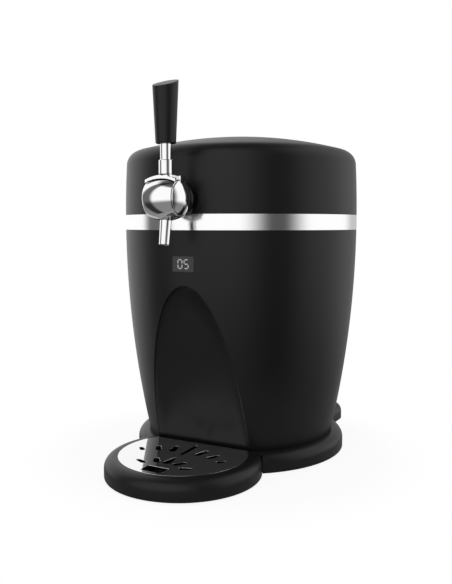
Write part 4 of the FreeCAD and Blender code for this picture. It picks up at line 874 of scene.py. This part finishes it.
def slantedFace(depths):
    # gives y for a height on the slanted face, at given depths behind it at foot and top
    footY = -(barrelRadius(barrel["foot"]) - recess["footDepth"])
    topY = -barrelRadius(recess["topHeight"])
    tilt = math.atan2(footY - topY, recess["topHeight"] - recess["footHeight"])
    back, up = (math.cos(tilt), math.sin(tilt)), (-math.sin(tilt), math.cos(tilt))
    ends = []
    for y, z, depth, stretch in (
        (footY, recess["footHeight"], depths[0], -recess["below"]),
        (topY, recess["topHeight"], depths[1], recess["above"]),
    ):
        ends.append((y + depth * back[0] + stretch * up[0], z + depth * back[1] + stretch * up[1]))
    (y0, z0), (y1, z1) = ends
    half = math.dist(*ends) / 2
    reach = math.sqrt(recess["crown"] ** 2 - half**2)
    wayY, wayZ = (z1 - z0) / (2 * half), (y0 - y1) / (2 * half)
    centreY, centreZ = (y0 + y1) / 2 + wayY * reach, (z0 + z1) / 2 + wayZ * reach
    return lambda z: centreY - math.sqrt(recess["crown"] ** 2 - (z - centreZ) ** 2)


faceY = slantedFace((0, 0))
floorY = slantedFace(recess["sink"])


def recessHalf(height):
    # half the recess's width, where the slanted face leaves the barrel
    return math.sqrt(max(barrelRadius(height) ** 2 - faceY(height) ** 2, 0))


def findApex():
    # halves a range of heights until it closes on the recess's tip
    low, high = (recess["topHeight"] + shift for shift in recess["apexRange"])
    for _ in range(recess["apexTries"]):
        middle = (low + high) / 2
        low, high = (middle, high) if -faceY(middle) < barrelRadius(middle) else (low, middle)
    return low


def makeRecessPanel():
    # the panel is a shallow dish with a steeper edge, and both widen upwards
    play, last = recess["play"], recess["rimSpots"] - 1
    apex, foot = findApex() - play, barrel["foot"]
    rim = []
    for i in range(recess["rimSpots"]):
        height = apex - (apex - foot) * (i / last) ** 2
        rim.append((recessHalf(height), height))
    deselect()
    bpy.ops.mesh.primitive_grid_add(
        x_subdivisions=recess["columns"], y_subdivisions=recess["rows"], size=2
    )
    panel = bpy.context.object
    panel.name = panel.data.name = "recessPanel"
    for vertex in panel.data.vertices:
        across, up = vertex.co.x, (vertex.co.y + 1) / 2
        z = apex - (apex - foot) * (1 - up) ** 2
        half = max(recessHalf(z) - play, recess["leastHalf"])
        x = half * math.sin(across * math.pi / 2)
        away = min(math.hypot(abs(x) - rimX, z - rimZ) for rimX, rimZ in rim)
        y = floorY(z)
        for widths, slope in (recess["dish"], recess["edge"]):
            width = alongRecess(widths, z)
            hollow = width / math.sin(math.radians(slope))
            y -= hollow - math.sqrt(hollow**2 - max(width - away, 0) ** 2)
        vertex.co = Vector((x, y, z)) * mm
    pick(panel)
    bpy.ops.object.mode_set(mode="EDIT")
    bpy.ops.mesh.select_all(action="SELECT")
    bpy.ops.mesh.extrude_region_move(
        TRANSFORM_OT_translate={"value": (0, recess["plate"] * mm, 0)}
    )
    finishMesh(panel, recess["smooth"])
    seat(panel, "housing", "satin", "recess_panel")


lipPiece = {"round": 0.9, "rows": 4, "reach": 0.15, "below": 0.1, "above": 2, "smooth": 40}


def makeLowerShell():
    # the CAD's shell with a rounded lip where the slanted face leaves the barrel
    shell = copyNode("lower_shell", "lowerShell")
    pick(shell)
    bpy.ops.object.mode_set(mode="EDIT")
    bpy.ops.mesh.select_all(action="DESELECT")
    bpy.ops.object.mode_set(mode="OBJECT")
    low, high = barrel["foot"] - lipPiece["below"], recess["topHeight"] + lipPiece["above"]
    reach = lipPiece["reach"]
    onLip = []
    for vertex in shell.data.vertices:
        x, y, z = vertex.co / mm
        onFace = low < z < high and y < 0 and abs(y - faceY(z)) < reach
        onLip.append(onFace and abs(math.hypot(x, y) - barrelRadius(z)) < reach)
    for line in shell.data.edges:
        line.select = all(onLip[i] for i in line.vertices)
    bpy.ops.object.mode_set(mode="EDIT")
    bpy.ops.mesh.select_mode(type="EDGE")
    bpy.ops.mesh.bevel(
        offset=lipPiece["round"] * mm,
        segments=lipPiece["rows"],
        affect="EDGES",
        clamp_overlap=False,
    )
    bpy.ops.mesh.select_mode(type="VERT")
    bpy.ops.object.mode_set(mode="OBJECT")
    seat(smoothEdges(shell, lipPiece["smooth"]), "housing", "satin", "lower_shell")


makeBand()
makeUpperShell()
makeLid()
makeLowerShell()
makeRecessPanel()
print("housing shells made")


trayPiece = {
    "centreY": -140.5,
    "radius": 86.2,
    "gap": 0.5,
    "innerEdge": 0.7,
    "edgeRows": 3,
    "edgeAngle": 50,
}
basePiece = {
    "radius": barrelRadius(barrel["foot"]) + 14.8,
    "low": 1.2,
    "high": 22.5,
    "round": 11.5,
    "roundRows": 16,
    "bay": 99.2,
    "horn": (74, 84),
    "hornInside": 60,
    "hornFront": 104,
    "hornLap": 0.3,
    "hornZone": (-1, 4),
    "trayZone": (-5, 40),
}


def makeBase():
    # the CAD's base, with its round side run on to the tray's rim at both ends of the bay
    values = basePiece
    base = copyNode("base_housing", "baseHousing")
    low, high, radius = values["low"], values["high"], values["radius"]
    inside, edge = values["hornInside"], values["round"]
    rim = arc(radius - edge, high - edge, edge, 0, 90, values["roundRows"])
    hornLine = [(inside, low), (radius, low)] + rim + [(inside, high)]
    front, back = -values["hornFront"], values["hornLap"] - values["bay"]
    zoneLow, zoneHigh = values["hornZone"][0], high + values["hornZone"][1]
    reach = trayPiece["radius"] + trayPiece["gap"]
    trayLow, trayHigh = values["trayZone"]
    trayLine = [(0, trayLow), (reach, trayLow), (reach, trayHigh), (0, trayHigh)]
    for side in (-1, 1):
        horn = turnRound("horn", hornLine, steps=barrel["steps"])
        near, far = sorted(side * x for x in values["horn"])
        zone = makeBlock("hornZone", (near, front, zoneLow), (far, back, zoneHigh))
        combine(horn, zone, "INTERSECT")
        combine(horn, turnRound("trayZone", trayLine, (0, trayPiece["centreY"], 0)))
        combine(base, horn, "UNION")
    seat(smoothEdges(base, work["copySmooth"]), "housing", "satin", "base_housing")


def makeTray():
    tray = copyNode("drip_tray", "dripTray")
    softenEdges(tray, trayPiece["innerEdge"], trayPiece["edgeRows"], trayPiece["edgeAngle"])
    seat(tray, "tray", "grip", "drip_tray")


platePiece = {"topLow": 21.9, "rise": 1.5, "edge": 0.16}


def makePlate():
    # pressed sheet whose edges and slots are turned down, so it looks thicker than it is
    plate = copyNode("drip_grille", "dripPlate")
    for vertex in plate.data.vertices:
        if vertex.co.z > platePiece["topLow"] * mm:
            vertex.co.z += platePiece["rise"] * mm
    seat(softenEdges(plate, platePiece["edge"]), "grille", "sheet", "drip_grille")


makeBase()
seat(copyNode("base_cover", "baseCover"), "housing", "satin", "base_cover")
makeTray()
makePlate()
print("base and tray made")


tap = {
    "y": -171.8,
    "z": 299.6,
    "ball": 21,
    "half": 17,
    "leftHalf": 18.3,
    "endRadius": 18,
    "rim": 0.5,
    "rows": 40,
    "belly": 0.11,
    "neck": 13.2,
    "neckInside": 6,
    "neckRear": 148.4,
    "steps": 160,
    "neckSteps": 96,
}
tapCentre = (0, tap["y"], tap["z"])
rightwards, backwards, upwards = (1, 0, 0), (0, 1, 0), (0, 0, 1)


def ballArc(grow=0.0):
    # the ball's outline is a shallow arc over its width
    drop = tap["ball"] - tap["endRadius"]
    return (tap["half"] ** 2 + drop**2) / (2 * drop) + grow


def ballHeight(x, grow=0.0):
    return tap["ball"] + grow - ballArc(grow) + math.sqrt(ballArc(grow) ** 2 - x * x)


def makeTapBody():
    left, right, rim, rows = -tap["leftHalf"], tap["half"], tap["rim"], tap["rows"]
    outline = [(0, left), (ballHeight(left) - rim, left)]
    for i in range(rows + 1):
        x = left + rim + (right - left - 2 * rim) * i / rows
        outline.append((ballHeight(x), x))
    outline += [(ballHeight(right) - rim, right), (0, right)]
    ball = turnRound("tapBall", outline, tapCentre, rightwards, upwards, tap["steps"])
    front, rear, neckR = tap["y"] + tap["neckInside"], -tap["neckRear"], tap["neck"]
    outline = [(0, front), (neckR, front), (neckR, rear), (0, rear)]
    neck = turnRound("neck", outline, (0, 0, tap["z"]), backwards, upwards, tap["neckSteps"])
    combine(ball, neck, "UNION")
    # the belly hangs a little lower than a true round
    for vertex in ball.data.vertices:
        drop = (tap["z"] * mm - vertex.co.z) / (tap["ball"] * mm)
        if drop > 0:
            vertex.co.z -= tap["belly"] * drop**2 * tap["ball"] * mm
    seat(smoothEdges(ball), "housing", "chrome", "tap_body")


capPiece = {"gap": 0.3, "leftReach": 20.6, "rightReach": 24.8, "edge": 0.4, "rows": 24}


def makeCap(side, reach, name, node):
    # a domed cap over one end of the ball
    half = tap["half"] if side > 0 else tap["leftHalf"]
    inner, end = half + capPiece["gap"], ballHeight(half)
    rise = reach - inner
    radius = (end**2 + rise**2) / (2 * rise)
    spread = math.degrees(math.asin(end / radius))
    dome = arc(reach - radius, 0, radius, spread, 0, capPiece["rows"])
    outline = [(0, side * inner), (end - capPiece["edge"], side * inner)]
    outline += [(height, side * x) for x, height in dome[1:]]
    cap = turnRound(name, outline, tapCentre, rightwards, upwards, tap["steps"])
    seat(cap, "lever", "chrome", node)


strapPiece = {
    "gap": 1.2,
    "wall": 2.4,
    "half": 17.5,
    "leftHalf": 18.5,
    "width": 22,
    "rows": 36,
    "zone": (30, 40),
    "lugWidth": 9,
    "lugGauge": 2.4,
    "lugDrop": 5,
    "lugLap": 0.05,
    "edge": 0.5,
    "edgeRows": 3,
}


def makeSaddle():
    # a strap that follows the ball's top, with a lug down onto the right cap
    values = strapPiece
    left, half, rows = -values["leftHalf"], values["half"], values["rows"]
    inner, outer = values["gap"], values["gap"] + values["wall"]
    places = [left + (half - left) * i / rows for i in range(rows + 1)]
    outline = [(ballHeight(x, outer), x) for x in places]
    outline += [(ballHeight(x, inner), x) for x in reversed(places)]
    strap = turnRound("leverSaddle", outline, tapCentre, rightwards, upwards, tap["steps"])
    y, z = tap["y"], tap["z"]
    zoneHalf, zoneRise = values["zone"]
    low = (-zoneHalf, y - values["width"] / 2, z)
    high = (zoneHalf, y + values["width"] / 2, z + zoneRise)
    combine(strap, makeBlock("strapZone", low, high), "INTERSECT")
    lugLow = z + tap["endRadius"] - values["lugDrop"]
    low = (half - values["lugLap"], y - values["lugWidth"] / 2, lugLow)
    high = (half + values["lugGauge"], y + values["lugWidth"] / 2, z + ballHeight(half, outer))
    combine(strap, makeBlock("lug", low, high), "UNION")
    softenEdges(strap, values["edge"], values["edgeRows"])
    seat(strap, "lever", "chrome", "lever_saddle")


stemPiece = {
    "radius": 7.4,
    "lap": 0.3,
    "top": 338,
    "edge": 0.5,
    "rod": 5.8,
    "rodTop": 354.3,
    "steps": 96,
}


def makeStem():
    # a stout lower stem and a thinner rod that carries the handle
    radius, top, edge = stemPiece["radius"], stemPiece["top"], stemPiece["edge"]
    rod, rodTop = stemPiece["rod"], stemPiece["rodTop"]
    low = tap["z"] + tap["ball"] + strapPiece["gap"] + strapPiece["wall"] - stemPiece["lap"]
    outline = [(0, low), (radius, low), (radius, top - edge), (radius - edge, top), (0, top)]
    stem = turnRound("leverStem", outline, (0, tap["y"], 0), steps=stemPiece["steps"])
    seat(stem, "lever", "chrome", "lever_stem")
    outline = [(0, top), (rod, top), (rod, rodTop), (0, rodTop)]
    rodPiece = turnRound("leverRod", outline, (0, tap["y"], 0), steps=stemPiece["steps"])
    seat(rodPiece, "lever", "chrome", "lever_rod")


gripPiece = {
    "low": 10.5,
    "high": 13.5,
    "top": 414.7,
    "slant": 21,
    "slice": 40,
    "edge": 0.8,
    "edgeRows": 3,
    "edgeAngle": 40,
    "steps": 128,
}


def makeGrip():
    # a tapered handle whose top is cut at a slant
    values = gripPiece
    low, top = stemPiece["rodTop"], values["top"]
    edge, run = values["edge"], values["slice"]
    slant = math.radians(values["slant"])
    highZ = top + values["high"] * math.tan(slant)
    outline = [(0, low), (values["low"] - edge, low), (values["low"], low + edge)]
    outline += [(values["high"], highZ), (0, highZ)]
    grip = turnRound("tapHandle", outline, (0, tap["y"], 0), steps=values["steps"])
    spots = []
    for across, up in ((-run, 0), (run, 0), (run, run), (-run, run)):
        y = tap["y"] + across * math.cos(slant) - up * math.sin(slant)
        z = top + across * math.sin(slant) + up * math.cos(slant)
        spots.append((-run, y, z))
    combine(grip, pushShape("slice", spots, (2 * run, 0, 0)))
    softenEdges(grip, edge, values["edgeRows"], values["edgeAngle"])
    seat(grip, "lever", "grip", "tap_handle")


spoutPiece = {
    "top": 6.4,
    "end": 5.7,
    "bore": 4.2,
    "length": 27,
    "root": 6,
    "endZ": 252,
    "lean": 8.6,
    "edge": 0.4,
    "steps": 96,
}


def makeSpout():
    values = spoutPiece
    turn = math.radians(values["lean"])
    topZ = values["endZ"] + values["length"] * math.cos(turn)
    axis = (0, math.sin(turn), math.cos(turn))
    edge, low = values["edge"], -values["length"]
    bore, end = values["bore"], values["end"]
    outline = [(bore, low + edge), (bore + edge, low), (end - edge, low), (end, low + edge)]
    outline += [(values["top"], 0), (values["top"], values["root"]), (bore, values["root"])]
    spout = turnRound("tapSpout", outline, (0, tap["y"], topZ), axis, steps=values["steps"])
    seat(spout, "housing", "chrome", "tap_spout")


collarPiece = {"radius": 15.5, "front": 155.6, "rear": 150.4, "edge": 0.6, "steps": 128}


def makeCollar():
    # a chrome ring on the tap's neck
    radius, edge, bore = collarPiece["radius"], collarPiece["edge"], tap["neck"]
    front, rear = -collarPiece["front"], -collarPiece["rear"]
    outline = [(bore, front), (radius - edge, front), (radius, front + edge)]
    outline += [(radius, rear - edge), (radius - edge, rear), (bore, rear)]
    centre, steps = (0, 0, tap["z"]), collarPiece["steps"]
    collar = turnRound("tapCollar", outline, centre, backwards, upwards, steps)
    seat(collar, "housing", "chrome", "tap_collar")


discPiece = {"radius": 18.5, "rear": 138.6, "edge": 1.6, "edgeStep": 0.5, "steps": 128}


def makeEscutcheon():
    # a black disc between the collar and the barrel, with its front edge broken in two steps
    radius, edge, step = discPiece["radius"], discPiece["edge"], discPiece["edgeStep"]
    front, rear, bore = -collarPiece["rear"], -discPiece["rear"], tap["neck"]
    outline = [(bore, front), (radius - edge, front), (radius - step, front + step)]
    outline += [(radius, front + edge), (radius, rear), (bore, rear)]
    centre, steps = (0, 0, tap["z"]), discPiece["steps"]
    disc = turnRound("tapEscutcheon", outline, centre, backwards, upwards, steps)
    seat(disc, "housing", "gloss", "tap_escutcheon")


makeTapBody()
makeCap(-1, capPiece["leftReach"], "capLeft", "tap_cap_left")
makeCap(1, capPiece["rightReach"], "capRight", "tap_cap_right")
makeSaddle()
makeStem()
makeGrip()
makeSpout()
makeCollar()
makeEscutcheon()
print("tap made")

seat(copyNode("rear_cover", "rearCover"), "housing", "satin", "rear_cover")
print("rear cover made")
